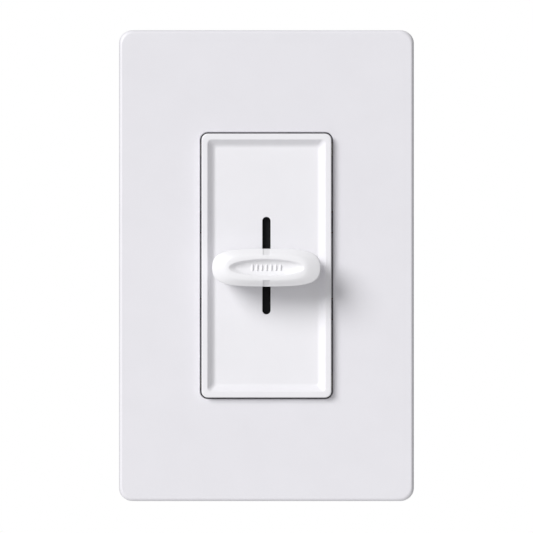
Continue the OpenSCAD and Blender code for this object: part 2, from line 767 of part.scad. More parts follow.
module choke_core() color("khaki") {
    translate([choke_at[0], choke_y, choke_at[1]]) rotate([-90, 0, 0]) difference() {
        cylinder(d = choke_d, h = choke_t);
        translate([0, 0, -1]) cylinder(d = choke_bore, h = choke_t + 2);
    }
}

// One turn of wire: a frame round the core's section.
module choke_turn() {
    ring_w = (choke_d - choke_bore) / 2;
    in_w = ring_w + 2 * wire_lift;
    in_h = choke_t + 2 * wire_lift;
    linear_extrude(choke_wire_d, center = true) difference() {
        rounded(in_w + 2 * choke_wire_d, in_h + 2 * choke_wire_d, choke_wire_d);
        square([in_w, in_h], center = true);
    }
}

module choke_winding() color("chocolate") {
    mid_r = (choke_d + choke_bore) / 4;
    span = 360 - (choke_gap_angles[1] - choke_gap_angles[0]);
    for (i = [0:choke_turns - 1])
        translate([choke_at[0], choke_y + choke_t / 2, choke_at[1]])
            rotate([0, -choke_gap_angles[1] - span * i / (choke_turns - 1), 0])
                translate([mid_r, 0, 0]) choke_turn();
    for (p = choke_lead_points)
        bar_y(p, lead_r, board_y - 0.3, choke_y + choke_t / 2);
}

module filter_capacitor() color("gold") {
    translate([filter_at[0], 0, filter_at[1]])
        slab(board_back_y + 0.4, board_back_y + 14.4) rounded(8, 18, 0.6);
    translate([filter_at[0], 0, filter_at[1]])
        for (x = [-3, 3]) block([x - 0.5, board_back_y + 0.02, -8], [x + 0.5, board_back_y + 0.4 + eps, 8]);
}

module timing_capacitor() color("seagreen") {
    translate([timing_at[0], 0, timing_at[1]])
        slab(board_back_y + 0.5, board_back_y + 8.5) rounded(4.2, 7.4, 1.6);
}

// A leaded part lying along X: its body, with a collar at each end.
module axial_body(at, r, length) {
    body_y = board_back_y + r + 0.2;
    bar_x([body_y, at[1]], r * 0.86, at[0] - length / 2 + 1, at[0] + length / 2 - 1);
    for (s = [-1, 1])
        bar_x([body_y, at[1]], r, at[0] + s * (length / 2 - 0.8) - 0.8, at[0] + s * (length / 2 - 0.8) + 0.8);
}

module diac() color("steelblue") axial_body(diac_at, 0.95, 4);

module resistors() color("burlywood") {
    for (p = resistor_places) axial_body([p[0], p[1]], 1.2, 6);
}

// A bent lead from an axial body's end down through the board.
module axial_leads(at, half_span, r, length) {
    body_y = board_back_y + r + 0.2;
    for (s = [-1, 1]) {
        x_end = at[0] + s * length / 2;
        x_hole = at[0] + s * half_span;
        bar_x([body_y, at[1]], lead_r, min(x_end, x_hole) + 0.02, max(x_end, x_hole) - 0.02);
        bar_y([x_hole, at[1]], lead_r, board_y - 0.3, body_y + lead_r);
    }
}

module component_leads() color("silver") {
    for (p = resistor_places) axial_leads([p[0], p[1]], p[2], 1.2, 6);
    axial_leads(diac_at, 4, 0.95, 4);
    for (s = [-1, 1]) {
        bar_y([filter_at[0], filter_at[1] + s * 7.5], lead_r, board_y - 0.3, board_back_y + 0.38);
        bar_y([timing_at[0], timing_at[1] + s * 2.5], lead_r, board_y - 0.3, board_back_y + 0.48);
    }
    for (p = trimmer_pins) bar_y(trimmer_at + p, lead_r, board_y - 0.3, board_back_y + 0.28);
}

module trimmer_base() color("royalblue") {
    difference() {
        translate([trimmer_at[0], 0, trimmer_at[1]])
            slab(trimmer_base_y, trimmer_base_y + 3.4) rounded(trimmer_size, trimmer_size, 0.4);
        bar_y(trimmer_at, rotor_r + 0.08, rotor_y, 30);
        bar_y(trimmer_at, 1.05, trimmer_base_y + 0.6, 30);
    }
}

module trimmer_rotor() color("white") {
    difference() {
        union() {
            bar_y(trimmer_at, rotor_r, rotor_y + 0.05, rotor_y + 1.3);
            bar_y(trimmer_at, 1, trimmer_base_y + 0.65, rotor_y + 0.1);
        }
        block([trimmer_at[0] - 1.8, rotor_y + 0.7, trimmer_at[1] - 0.3],
              [trimmer_at[0] + 1.8, rotor_y + 2, trimmer_at[1] + 0.3]);
    }
}

// ---- Side terminals ----

module terminal_plates() color("goldenrod") {
    tab_y = terminal_y - terminal_plate_size / 2;
    half = terminal_plate_size / 2;
    for (z = terminal_zs) difference() {
        union() {
            block([housing_side_x - terminal_plate_t + 0.02, tab_y, z - half],
                  [housing_side_x + 0.02, terminal_y + half, z + half]);
            block([tail_x, tab_y, z - 1.5], [housing_side_x - 0.5, tab_y + 0.8, z + 1.5]);
            block([tail_x, board_back_y + touch_gap, z - 1.5], [tail_x + 0.8, tab_y + 0.8, z + 1.5]);
            block([tail_x - 3, board_back_y + touch_gap, z - 1.5],
                  [tail_x + 0.8, board_back_y + 0.85, z + 1.5]);
        }
        bar_x([terminal_y, z], terminal_screw_r + touch_gap, 0, 40);
    }
}

module terminal_screws() color("darkgoldenrod") {
    for (z = terminal_zs) difference() {
        union() {
            bar_x([terminal_y, z], 3.7, terminal_head_x, terminal_head_x + terminal_head_t);
            bar_x([terminal_y, z], terminal_screw_r, tail_x - 1.5, terminal_head_x + eps);
        }
        block([terminal_head_x + terminal_head_t * 0.5, terminal_y - 4, z - 0.5],
              [terminal_head_x + terminal_head_t + 1, terminal_y + 4, z + 0.5]);
    }
}

// ---- Back housing ----

module back_housing() color("black") {
    half = terminal_plate_size / 2;
    tab_y = terminal_y - half;
    difference() {
        union() {
            difference() {
                slab(housing_front_y, housing_depth) rounded(housing_w, housing_h, housing_corner_r);
                slab(housing_front_y - 1, housing_depth - housing_wall)
                    rounded(housing_in_w, housing_in_h, 0.8);
            }
            intersection() {
                for (x = [-boss_x, boss_x], z = [-boss_z, boss_z])
                    bar_y([x, z], boss_r, housing_front_y, housing_depth - eps);
                slab(housing_front_y, housing_depth)
                    rounded(housing_w - eps, housing_h - eps, housing_corner_r);
            }
            // Ledges that carry the board's top and bottom edges.
            for (s = [-1, 1]) translate([0, 0, s * (housing_in_h / 2 - 0.7)])
                block([-6, board_back_y + touch_gap, -0.71], [6, housing_depth - eps, 0.71]);
            // Barriers between the terminals.
            for (z = [-terminal_spacing / 2 - half - 2, 0, terminal_spacing / 2 + half + 2])
                block([housing_side_x - 1, terminal_y - half - 1, z - 0.8],
                      [housing_side_x + wire_gap + terminal_head_t + 0.4, housing_depth - 1, z + 0.8]);
        }
        for (x = [-boss_x, boss_x], z = [-boss_z, boss_z]) bar_y([x, z], rivet_r + touch_gap, -1, 9);
        for (z = terminal_zs) {
            block([housing_side_x - terminal_recess, tab_y - 0.2, z - half - 0.2],
                  [housing_side_x + 10, terminal_y + half + 0.2, z + half + 0.2]);
            block([0, tab_y - 0.2, z - 1.7], [housing_side_x + 1, tab_y + 1, z + 1.7]);
            bar_x([terminal_y, z], terminal_screw_r + 0.15, 0, 40);
        }
        // Shallow panel in the back face.
        slab(housing_depth - 0.4, housing_depth + 1) rounded(housing_w - 12, housing_h - 16, 1.5);
    }
}

module housing_rivets() color("silver") {
    for (x = [-boss_x, boss_x], z = [-boss_z, boss_z]) {
        bar_y([x, z], rivet_r, yoke_front_y + 0.02, 8.4);
        bar_y([x, z], rivet_r + 0.85, yoke_front_y + 0.02, yoke_front_y + 0.78);
    }
}

// ---- Drawing ----

wallplate_cover();
wallplate_adapter();
adapter_screws();
faceplate();
yoke();
box_screws();
screw_retainers();
ground_screw();
knob();
slide_actuator();
dust_shutter();
drag_spring();
wiper_carrier();
wiper_contact();
switch_bridge();
insulator_sheet();
board_spacer();
circuit_board();
resistance_track();
collector_strip();
switch_rails();
solder_joints();
triac_body();
triac_tab();
triac_leads();
triac_pad();
triac_rivet();
choke_core();
choke_winding();
filter_capacitor();
timing_capacitor();
diac();
resistors();
component_leads();
trimmer_base();
trimmer_rotor();
terminal_plates();
terminal_screws();
back_housing();
housing_rivets();
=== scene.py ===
"""Slide dimmer with its screwless wallplate: the visual model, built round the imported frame.

Sizes in the classes are millimetres and are turned into metres where a tool needs them. The front
faces -Y, +Z is up and the wall surface is the plane y = 0, as in the frame.
"""

import json
import logging
import math
from dataclasses import dataclass
from enum import Enum
from typing import Any, Callable, Iterable, Optional, Sequence

import bmesh
import bpy
from mathutils import Matrix, Vector

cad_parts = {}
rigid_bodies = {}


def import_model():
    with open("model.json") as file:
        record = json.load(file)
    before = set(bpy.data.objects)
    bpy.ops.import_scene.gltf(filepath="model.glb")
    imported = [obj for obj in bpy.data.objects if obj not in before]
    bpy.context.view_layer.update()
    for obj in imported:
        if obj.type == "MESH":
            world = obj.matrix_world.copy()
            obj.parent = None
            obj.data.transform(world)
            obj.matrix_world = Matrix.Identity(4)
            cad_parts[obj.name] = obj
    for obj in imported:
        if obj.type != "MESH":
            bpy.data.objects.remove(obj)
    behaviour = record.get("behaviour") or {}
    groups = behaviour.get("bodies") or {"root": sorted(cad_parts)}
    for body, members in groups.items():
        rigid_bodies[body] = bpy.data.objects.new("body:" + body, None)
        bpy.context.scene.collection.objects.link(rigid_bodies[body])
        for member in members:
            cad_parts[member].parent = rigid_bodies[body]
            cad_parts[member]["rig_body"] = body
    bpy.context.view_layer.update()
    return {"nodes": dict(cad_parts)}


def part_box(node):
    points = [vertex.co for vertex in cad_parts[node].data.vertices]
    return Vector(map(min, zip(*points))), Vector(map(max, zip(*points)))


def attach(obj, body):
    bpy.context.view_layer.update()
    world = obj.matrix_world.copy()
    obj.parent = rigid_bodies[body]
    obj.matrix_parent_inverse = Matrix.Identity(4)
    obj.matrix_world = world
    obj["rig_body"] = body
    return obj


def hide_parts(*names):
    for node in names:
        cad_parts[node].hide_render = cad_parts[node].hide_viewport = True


LOG = logging.getLogger("dimmer")
MM = 0.001
SAME_PLACE = 1e-6  # points closer than this, in metres, are one point
FLAT = math.radians(0.5)  # faces that meet at less than this lie in one plane
FACE_LEAD = 60  # how strongly large faces lead the shading beside rounded edges
SKIN = 0.02  # how far a lofted face stays inside the CAD face, in millimetres
LINK_SLACK = 1.02  # how much longer than the widest gap a bridging edge may be

Colour = tuple[float, float, float]
Place = Callable[[Vector, Vector], bool]


class Axis(Enum):
    """The three directions of the frame."""

    X = Vector((1, 0, 0))
    Y = Vector((0, 1, 0))
    Z = Vector((0, 0, 1))


class Element(Enum):
    """What an edit-mode tool acts on."""

    VERT = "verts"
    EDGE = "edges"
    FACE = "faces"


class Outline(Enum):
    """How the outline of a lofted section is drawn."""

    ROUNDED = "a rectangle with round corners"
    OVAL = "four arcs drawn with handles"


class Merge(Enum):
    """How a second shape is worked into the first."""

    CUT = "DIFFERENCE"
    FUSE = "UNION"


def span(node: str) -> tuple[Vector, Vector]:
    """Return the lowest and highest corner of a CAD node, in millimetres.

    Args:
        node: name of the CAD node.

    Returns:
        The two corners.
    """
    low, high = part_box(node)
    return low / MM, high / MM


# ---- Tools ----


class Bench:
    """Blender's own tools, each set to work on one piece."""

    @staticmethod
    def clear() -> None:
        """Leave edit mode and deselect everything."""
        active = bpy.context.view_layer.objects.active
        if active is not None and active.mode != "OBJECT":
            bpy.ops.object.mode_set(mode="OBJECT")
        bpy.ops.object.select_all(action="DESELECT")

    @staticmethod
    def take(piece: bpy.types.Object) -> bpy.types.Object:
        """Make a piece the only one selected and the active one.

        Args:
            piece: the piece to work on.

        Returns:
            The same piece.
        """
        Bench.clear()
        piece.select_set(True)
        bpy.context.view_layer.objects.active = piece
        return piece

    @staticmethod
    def fix(name: str) -> bpy.types.Object:
        """Name the new primitive and move its place into its mesh.

        Args:
            name: name of the piece.

        Returns:
            The piece, with its object at the origin.
        """
        piece = bpy.context.view_layer.objects.active
        piece.name = piece.data.name = name
        Bench.take(piece)
        bpy.ops.object.transform_apply(location=True, rotation=True, scale=True)
        return piece

    @staticmethod
    def block(name: str, low: Sequence[float], high: Sequence[float]) -> bpy.types.Object:
        """Add a box between two corners, as the start of a piece.

        Args:
            name: name of the piece.
            low: lowest corner.
            high: highest corner.

        Returns:
            The new piece.
        """
        Bench.clear()
        a, b = Vector(low) * MM, Vector(high) * MM
        bpy.ops.mesh.primitive_cube_add(size=1, location=(a + b) / 2)
        bpy.context.object.scale = b - a
        return Bench.fix(name)

    @staticmethod
    def rod(
        name: str, at: Sequence[float], radius: float, length: float, axis: Axis = Axis.Y, sides: int = 48
    ) -> bpy.types.Object:
        """Add a round bar, as the start of a piece.

        Args:
            name: name of the piece.
            at: middle of the end that lies lowest along the axis.
            radius: radius of the bar.
            length: length of the bar.
            axis: direction of the bar.
            sides: number of flat sides.

        Returns:
            The new piece.
        """
        Bench.clear()
        middle = (Vector(at) + axis.value * length / 2) * MM
        turn = Vector((0, 0, 1)).rotation_difference(axis.value).to_euler()
        bpy.ops.mesh.primitive_cylinder_add(
            vertices=sides, radius=radius * MM, depth=length * MM, location=middle, rotation=turn
        )
        return Bench.fix(name)

    @staticmethod
    def edit(piece: bpy.types.Object) -> None:
        """Enter edit mode on a piece, with all of it selected.

        Args:
            piece: the piece to edit.
        """
        Bench.take(piece)
        bpy.ops.object.mode_set(mode="EDIT")
        bpy.ops.mesh.select_all(action="SELECT")

    @staticmethod
    def choose(kind: Element, test: Place) -> int:
        """Select the elements of the piece in edit mode that pass a test.

        Args:
            kind: verts, edges or faces.
            test: takes the element's middle in millimetres and its normal.

        Returns:
            How many were selected.
        """
        bpy.ops.mesh.select_mode(type=kind.name)
        bpy.ops.mesh.select_all(action="DESELECT")
        mesh = bpy.context.edit_object.data
        form = bmesh.from_edit_mesh(mesh)
        found = 0
        for part in getattr(form, kind.value):
            if kind is Element.VERT:
                middle, normal = part.co, part.normal
            elif kind is Element.EDGE:
                middle = (part.verts[0].co + part.verts[1].co) / 2
                normal = (part.verts[1].co - part.verts[0].co).normalized()
            else:
                middle, normal = part.calc_center_median(), part.normal
            if test(middle / MM, normal):
                part.select_set(True)
                found += 1
        bmesh.update_edit_mesh(mesh)
        return found

    @staticmethod
    def tidy(piece: bpy.types.Object, flat: bool = False) -> None:
        """Merge doubled points, close the surface's normals outwards and leave edit mode.

        Args:
            piece: the piece to tidy.
            flat: also dissolve edges that lie within flat faces.
        """
        Bench.edit(piece)
        bpy.ops.mesh.remove_doubles(threshold=SAME_PLACE)
        if flat:
            bpy.ops.mesh.dissolve_limited(angle_limit=FLAT)
            bpy.ops.mesh.select_all(action="SELECT")
        bpy.ops.mesh.normals_make_consistent(inside=False)
        bpy.ops.object.mode_set(mode="OBJECT")

    @staticmethod
    def modify(piece: bpy.types.Object, kind: str, apply: bool = True, **settings: Any) -> None:
        """Add a modifier with its settings, and apply it.

        Args:
            piece: the piece to change.
            kind: type of the modifier.
            apply: whether the modifier is applied at once.
            settings: the modifier's settings.
        """
        Bench.take(piece)
        bpy.ops.object.modifier_add(type=kind)
        modifier = piece.modifiers[-1]
        for name, value in settings.items():
            setattr(modifier, name, value)
        if apply:
            bpy.ops.object.modifier_apply(modifier=modifier.name)

    @staticmethod
    def ease(
        piece: bpy.types.Object, width: float, steps: int = 2, angle: float = 40, apply: bool = True
    ) -> None:
        """Round every edge that is sharper than an angle.

        Args:
            piece: the piece to change.
            width: how far the rounding reaches from the edge.
            steps: faces across the rounding.
            angle: least angle of a rounded edge, in degrees.
            apply: whether the modifier is applied at once.
        """
        Bench.modify(
            piece, "BEVEL", apply, width=width * MM, segments=steps, limit_method="ANGLE",
            angle_limit=math.radians(angle), miter_outer="MITER_SHARP", use_clamp_overlap=True,
        )

    @staticmethod
    def work_in(piece: bpy.types.Object, tool: bpy.types.Object, how: Merge) -> None:
        """Cut a tool's shape out of a piece, or fuse it to the piece, and drop the tool.

        Args:
            piece: the piece that stays.
            tool: the shape to work in, which is used up.
            how: cut or fuse.
        """
        Bench.modify(piece, "BOOLEAN", object=tool, operation=how.value, solver="EXACT")
        bpy.data.objects.remove(tool)

    @staticmethod
    def join(name: str, pieces: Sequence[bpy.types.Object]) -> bpy.types.Object:
        """Make one piece of several.

        Args:
            name: name of the joined piece.
            pieces: the pieces, which are used up.

        Returns:
            The joined piece.
        """
        Bench.take(pieces[0])
        for piece in pieces[1:]:
            piece.select_set(True)
        if len(pieces) > 1:
            bpy.ops.object.join()
        pieces[0].name = pieces[0].data.name = name
        return pieces[0]

    @staticmethod
    def copy(
        piece: bpy.types.Object, shift: Sequence[float] = (0, 0, 0), turn: float = 0.0, axis: Axis = Axis.Y
    ) -> bpy.types.Object:
        """Copy a piece with its own mesh, turned about an axis through the origin and then moved.

        Args:
            piece: the piece to copy.
            shift: how far the copy moves.
            turn: how far the copy turns, in degrees.
            axis: the axis of the turn.

        Returns:
            The copy.
        """
        Bench.take(piece)
        bpy.ops.object.duplicate(linked=False)
        twin = bpy.context.view_layer.objects.active
        turned = Matrix.Rotation(math.radians(turn), 4, axis.value)
        twin.matrix_world = Matrix.Translation(Vector(shift) * MM) @ turned
        bpy.ops.object.transform_apply(location=True, rotation=True, scale=True)
        return twin

    @staticmethod
    def polish(piece: bpy.types.Object, angle: float = 35, weighted: bool = True) -> None:
        """Shade a piece smooth up to an angle, with flat faces kept flat beside rounded edges.

        Args:
            piece: the piece to shade.
            angle: edges sharper than this stay sharp, in degrees.
            weighted: whether large faces lead the shading.
        """
        Bench.take(piece)
        bpy.ops.object.shade_smooth_by_angle(angle=math.radians(angle))
        if weighted:
            Bench.modify(piece, "WEIGHTED_NORMAL", keep_sharp=True, mode="FACE_AREA", weight=FACE_LEAD)


@dataclass(frozen=True)
class Section:
    """One outline across a lofted piece.

    Attributes:
        width: size along X.
        height: size along Z.
        y: where the outline lies.
        corner: radius of a rounded rectangle's corners.
        soften: how far the edge along this outline is rounded off.
        steps: faces across that rounding.
        arcs: handle lengths of an oval, across and up, as shares of its half sizes.
        up: how far the outline lies above the middle.
    """

    width: float
    height: float
    y: float
    corner: float = 1.0
    soften: float = 0.0
    steps: int = 4
    arcs: tuple[float, float] = (0.5523, 0.5523)
    up: float = 0.0


@dataclass(frozen=True)
class Loft:
    """A skin drawn over sections that follow one another.

    Attributes:
        sections: the outlines, in order.
        outline: how each outline is drawn.
        ring: whether the last outline joins the first, or both are closed with a face.
        fineness: points in each corner or arc.
    """

    sections: Sequence[Section]
    outline: Outline = Outline.ROUNDED
    ring: bool = False
    fineness: int = 8

    def _rounded(self, section: Section) -> bpy.types.Object:
        """Draw a rounded rectangle by bevelling a plane's corners.

        Args:
            section: the outline to draw.

        Returns:
            The outline, as a loop of edges.
        """
        Bench.clear()
        bpy.ops.mesh.primitive_plane_add(
            size=MM, location=(0, section.y * MM, section.up * MM), rotation=(math.pi / 2, 0, 0)
        )
        bpy.context.object.scale = (section.width, section.height, 1)
        outline = Bench.fix("outline")
        Bench.edit(outline)
        bpy.ops.mesh.bevel(
            offset=section.corner * MM, offset_type="OFFSET", segments=self.fineness, profile=0.5,
            affect="VERTICES", clamp_overlap=False,
        )
        bpy.ops.mesh.delete(type="ONLY_FACE")
        Bench.clear()
        return outline

    def _oval(self, section: Section) -> bpy.types.Object:
        """Draw an oval of four arcs whose handles set how full it is.

        Args:
            section: the outline to draw.

        Returns:
            The outline, as a loop of edges.
        """
        Bench.clear()
        bpy.ops.curve.primitive_bezier_circle_add(radius=1)
        curve = bpy.context.object
        curve.data.resolution_u = self.fineness
        across, up = section.arcs
        for point in curve.data.splines[0].bezier_points:
            point.handle_left_type = point.handle_right_type = "FREE"
            here = point.co.copy()
            reach = up if abs(here.x) > abs(here.y) else across
            along = Vector((here.y, -here.x, 0)) * reach
            point.handle_left, point.handle_right = here - along, here + along
        curve.matrix_world = (
            Matrix.Translation(Vector((0, section.y, section.up)) * MM)
            @ Matrix.Rotation(math.pi / 2, 4, "X")
            @ Matrix.Diagonal((section.width * MM / 2, section.height * MM / 2, 1, 1))
        )
        bpy.ops.object.convert(target="MESH")
        return Bench.fix("outline")

    @staticmethod
    def _key(point: Vector) -> tuple[int, ...]:
        """Return a point as whole tenths of a micrometre."""
        return tuple(round(c * 1e7) for c in point)

    def _choose_rings(self, rings: Iterable[Sequence[Vector]]) -> None:
        """Select the edges that run along the given outlines.

        Args:
            rings: the points of each outline.
        """
        wanted = {self._key(point) for ring in rings for point in ring}
        bpy.ops.mesh.select_mode(type="VERT")
        bpy.ops.mesh.select_all(action="DESELECT")
        mesh = bpy.context.edit_object.data
        form = bmesh.from_edit_mesh(mesh)
        for vert in form.verts:
            if self._key(vert.co) in wanted:
                vert.select_set(True)
        form.select_flush_mode()
        bmesh.update_edit_mesh(mesh)
        bpy.ops.mesh.select_mode(type="EDGE")

    def _strip(self, first: bpy.types.Object, second: bpy.types.Object) -> bpy.types.Object:
        """Bridge copies of two outlines, at the turn where no edge crosses the middle.

        Args:
            first: one outline.
            second: the other, with its points in the same order.

        Returns:
            The strip between them.
        """
        pairs = zip(first.data.vertices, second.data.vertices)
        reach = max((a.co - b.co).length for a, b in pairs) * LINK_SLACK
        rim = {
            self._key(v.co): side for side, ring in enumerate((first, second)) for v in ring.data.vertices
        }
        strip = Bench.join("strip", [Bench.copy(first), Bench.copy(second)])
        for turn in range(len(first.data.vertices)):
            Bench.edit(strip)
            bpy.ops.mesh.select_mode(type="EDGE")
            bpy.ops.mesh.bridge_edge_loops(twist_offset=turn)
            bpy.ops.mesh.select_all(action="DESELECT")
            links = [
                edge for edge in bmesh.from_edit_mesh(strip.data).edges
                if rim[self._key(edge.verts[0].co)] != rim[self._key(edge.verts[1].co)]
            ]
            if max(edge.calc_length() for edge in links) <= reach:
                break
            for edge in links:
                edge.select_set(True)
            bmesh.update_edit_mesh(strip.data)
            bpy.ops.mesh.delete(type="EDGE")
        Bench.clear()
        return strip

    def build(self, name: str) -> bpy.types.Object:
        """Draw the outlines, bridge each to the next and round off the edges.

        Args:
            name: name of the piece.

        Returns:
            The piece, closed and with its faces outwards.
        """
        draw = self._rounded if self.outline is Outline.ROUNDED else self._oval
        outlines = [draw(section) for section in self.sections]
        rings = [[v.co.copy() for v in outline.data.vertices] for outline in outlines]
        following = outlines[1:] + outlines[:1] if self.ring else outlines[1:]
        piece = Bench.join(name, [self._strip(*pair) for pair in zip(outlines, following)])
        for outline in outlines:
            bpy.data.objects.remove(outline)
        Bench.edit(piece)
        bpy.ops.mesh.remove_doubles(threshold=SAME_PLACE / 10)
        if not self.ring:
            for end in (rings[0], rings[-1]):
                self._choose_rings([end])
                bpy.ops.mesh.edge_face_add()
        bpy.ops.mesh.select_all(action="SELECT")
        bpy.ops.mesh.normals_make_consistent(inside=False)
        for section, ring in zip(self.sections, rings):
            if section.soften:
                self._choose_rings([ring])
                bpy.ops.mesh.bevel(
                    offset=section.soften * MM, segments=section.steps, profile=0.5,
                    affect="EDGES", clamp_overlap=False,
                )
        Bench.clear()
        return piece


# ---- Materials ----

KNOB_DROP = 0.5  # how far the knob's middle rests below z = 0
CREST = 3.1  # half height of the knob's flat crest, where the index groove and its painted shade start


class Sock:
    """A number in a material, with Python's arithmetic."""

    def __init__(self, paint: "Paint", out: bpy.types.NodeSocket) -> None:
        """Keep the node's output and the paint that it belongs to."""
        self.paint = paint
        self.out = out

    def _math(self, operation: str, *terms: Any) -> "Sock":
        """Add a Math node on the given terms."""
        return self.paint.node("ShaderNodeMath", {"operation": operation}, dict(enumerate(terms)))

    def __add__(self, other: Any) -> "Sock":
        """Return self + other."""
        return self._math("ADD", self, other)

    __radd__ = __add__

    def __sub__(self, other: Any) -> "Sock":
        """Return self - other."""
        return self._math("SUBTRACT", self, other)

    def __rsub__(self, other: Any) -> "Sock":
        """Return other - self."""
        return self._math("SUBTRACT", other, self)

    def __mul__(self, other: Any) -> "Sock":
        """Return self * other."""
        return self._math("MULTIPLY", self, other)

    __rmul__ = __mul__

    def __gt__(self, other: Any) -> "Sock":
        """Return 1 where self > other."""
        return self._math("GREATER_THAN", self, other)

    def __lt__(self, other: Any) -> "Sock":
        """Return 1 where self < other."""
        return self._math("LESS_THAN", self, other)

    def __abs__(self) -> "Sock":
        """Return the size of self."""
        return self._math("ABSOLUTE", self)


class Paint:
    """The nodes of one material, round its Principled shader."""

    def __init__(self, name: str) -> None:
        """Start a material.

        Args:
            name: name of the material.
        """
        self.material = bpy.data.materials.new(name)
        self.material.use_nodes = True
        self.tree = self.material.node_tree
        self.shader = self.tree.nodes["Principled BSDF"]
        self.place = self.node("ShaderNodeTexCoord", out="Object")

    def node(
        self, kind: str, settings: Optional[dict[str, Any]] = None,
        sockets: Optional[dict[Any, Any]] = None, out: Any = 0,
    ) -> Sock:
        """Add a node.

        Args:
            kind: type of the node.
            settings: the node's own settings.
            sockets: values or links of its inputs, by name or number.
            out: name or number of the output that is returned.

        Returns:
            The output.
        """
        made = self.tree.nodes.new(kind)
        for name, value in (settings or {}).items():
            setattr(made, name, value)
        for name, value in (sockets or {}).items():
            if isinstance(value, Sock):
                self.tree.links.new(value.out, made.inputs[name])
            else:
                made.inputs[name].default_value = value
        return Sock(self, made.outputs[out])

    def set(self, **sockets: Any) -> None:
        """Set or link the shader's sockets.

        Args:
            sockets: values or outputs by socket name, with _ for a space.
        """
        for name, value in sockets.items():
            socket = self.shader.inputs[name.replace("_", " ")]
            if isinstance(value, Sock):
                self.tree.links.new(value.out, socket)
            else:
                socket.default_value = (*value, 1) if isinstance(value, tuple) else value

    def noise(self, size: float, detail: float = 2.0, stretch: Sequence[float] = (1, 1, 1)) -> Sock:
        """Add cloudy noise.

        Args:
            size: size of its features, in millimetres.
            detail: how much finer detail it holds.
            stretch: how many times longer the features are along each axis.

        Returns:
            A number from 0 to 1.
        """
        squeeze = [1 / s for s in stretch]
        where = self.node("ShaderNodeMapping", sockets={"Vector": self.place, "Scale": squeeze})
        return self.node(
            "ShaderNodeTexNoise", sockets={"Vector": where, "Scale": 1 / (size * MM), "Detail": detail}
        )

    def specks(self, size: float) -> Sock:
        """Add cells, as the distance from each cell's middle."""
        return self.node("ShaderNodeTexVoronoi", sockets={"Vector": self.place, "Scale": 1 / (size * MM)})

    def blend(self, share: Any, first: Any, second: Any) -> Sock:
        """Mix two colours.

        Args:
            share: share of the second.
            first: colour or output.
            second: colour or output.

        Returns:
            The mixed colour.
        """
        colours = [(*c, 1) if isinstance(c, tuple) else c for c in (first, second)]
        return self.node(
            "ShaderNodeMix", {"data_type": "RGBA"}, {0: share, 6: colours[0], 7: colours[1]}, out=2
        )

    def coordinate(self, axis: Axis) -> Sock:
        """Return one coordinate of the place on the piece, in millimetres."""
        parts = self.node("ShaderNodeSeparateXYZ", sockets={0: self.place}, out=axis.name)
        return parts * (1 / MM)

    def relief(self, height: Sock, depth: float, under: Optional[Sock] = None) -> Sock:
        """Turn a height from 0 to 1 into a bump.

        Args:
            height: the height.
            depth: how deep it is, in millimetres.
            under: a bump that this one lies on.

        Returns:
            The normal.
        """
        sockets: dict[Any, Any] = {"Strength": 1.0, "Distance": depth * MM, "Height": height}
        if under is not None:
            sockets["Normal"] = under
        return self.node("ShaderNodeBump", sockets=sockets)


class Finish:
    """The look of one kind of surface."""

    def mix(self, name: str) -> bpy.types.Material:
        """Make the material."""
        raise NotImplementedError


@dataclass(frozen=True)
class Moulded(Finish):
    """Moulded plastic with the fine texture of its mould.

    Attributes:
        colour: colour of the plastic.
        rough: roughness.
        cloud: how far the colour wanders.
        grain: size of the texture's grain.
        depth: depth of the grain.
        wave: depth of the slow waviness that cooling leaves.
        groove: half width of a greyer stripe along Z on the slopes, or 0; the stripe is painted shade and a
            painted dark reflection in the knob's index groove.
        ior: how strongly the surface shines; less for a film that lies deep in shade.
    """

    colour: Colour
    rough: float = 0.42
    cloud: float = 0.02
    grain: float = 0.28
    depth: float = 0.0022
    wave: float = 0.012
    groove: float = 0.0
    ior: float = 1.49

    def mix(self, name: str) -> bpy.types.Material:
        """Make the plastic.

        Args:
            name: name of the material.

        Returns:
            The material.
        """
        paint = Paint(name)
        drift = paint.noise(9, 3)
        grain = paint.noise(self.grain, 2)
        dark = tuple(c * (1 - 2 * self.cloud) for c in self.colour)
        shade = paint.blend(drift, dark, self.colour)
        # Painted shade: a greyer stripe over the index groove on the upper and lower slopes stands in for
        # the groove's shade and the dark slot's reflection.
        if self.groove:
            above = abs(paint.coordinate(Axis.Z) + KNOB_DROP) > CREST
            groove_shade_stripe = (abs(paint.coordinate(Axis.X)) < self.groove) * above
            shade = paint.blend(groove_shade_stripe * 0.26, shade, tuple(c * 0.5 for c in self.colour))
        soft = paint.relief(paint.noise(14, 1), self.wave)
        paint.set(
            Base_Color=shade,
            Roughness=self.rough + (grain - 0.5) * 0.12 + (drift - 0.5) * 0.06,
            Normal=paint.relief(grain, self.depth, soft),
            IOR=self.ior,
        )
        return paint.material


@dataclass(frozen=True)
class Metal(Finish):
    """Bare or plated metal.

    Attributes:
        colour: colour of the clean metal.
        stain: colour of its tarnish.
        rough: roughness.
        brush: how many times longer its fine scratches are along each axis.
        worn: share of the surface that the tarnish covers.
        depth: depth of the scratches.
    """

    colour: Colour
    stain: Colour
    rough: float = 0.32
    brush: tuple[float, float, float] = (1, 1, 1)
    worn: float = 0.4
    depth: float = 0.0015

    def mix(self, name: str) -> bpy.types.Material:
        """Make the metal.

        Args:
            name: name of the material.

        Returns:
            The material.
        """
        paint = Paint(name)
        scratch = paint.noise(0.12, 3, self.brush)
        patch = paint.noise(3.5, 4)
        pits = paint.noise(0.5, 2)
        cover = (patch - 0.35) * (2.2 * self.worn)
        paint.set(
            Base_Color=paint.blend(cover, self.colour, self.stain),
            Metallic=1.0,
            Roughness=self.rough + (scratch - 0.5) * 0.22 + (patch - 0.5) * 0.16,
            Normal=paint.relief(scratch, self.depth, paint.relief(pits, self.depth)),
        )
        return paint.material


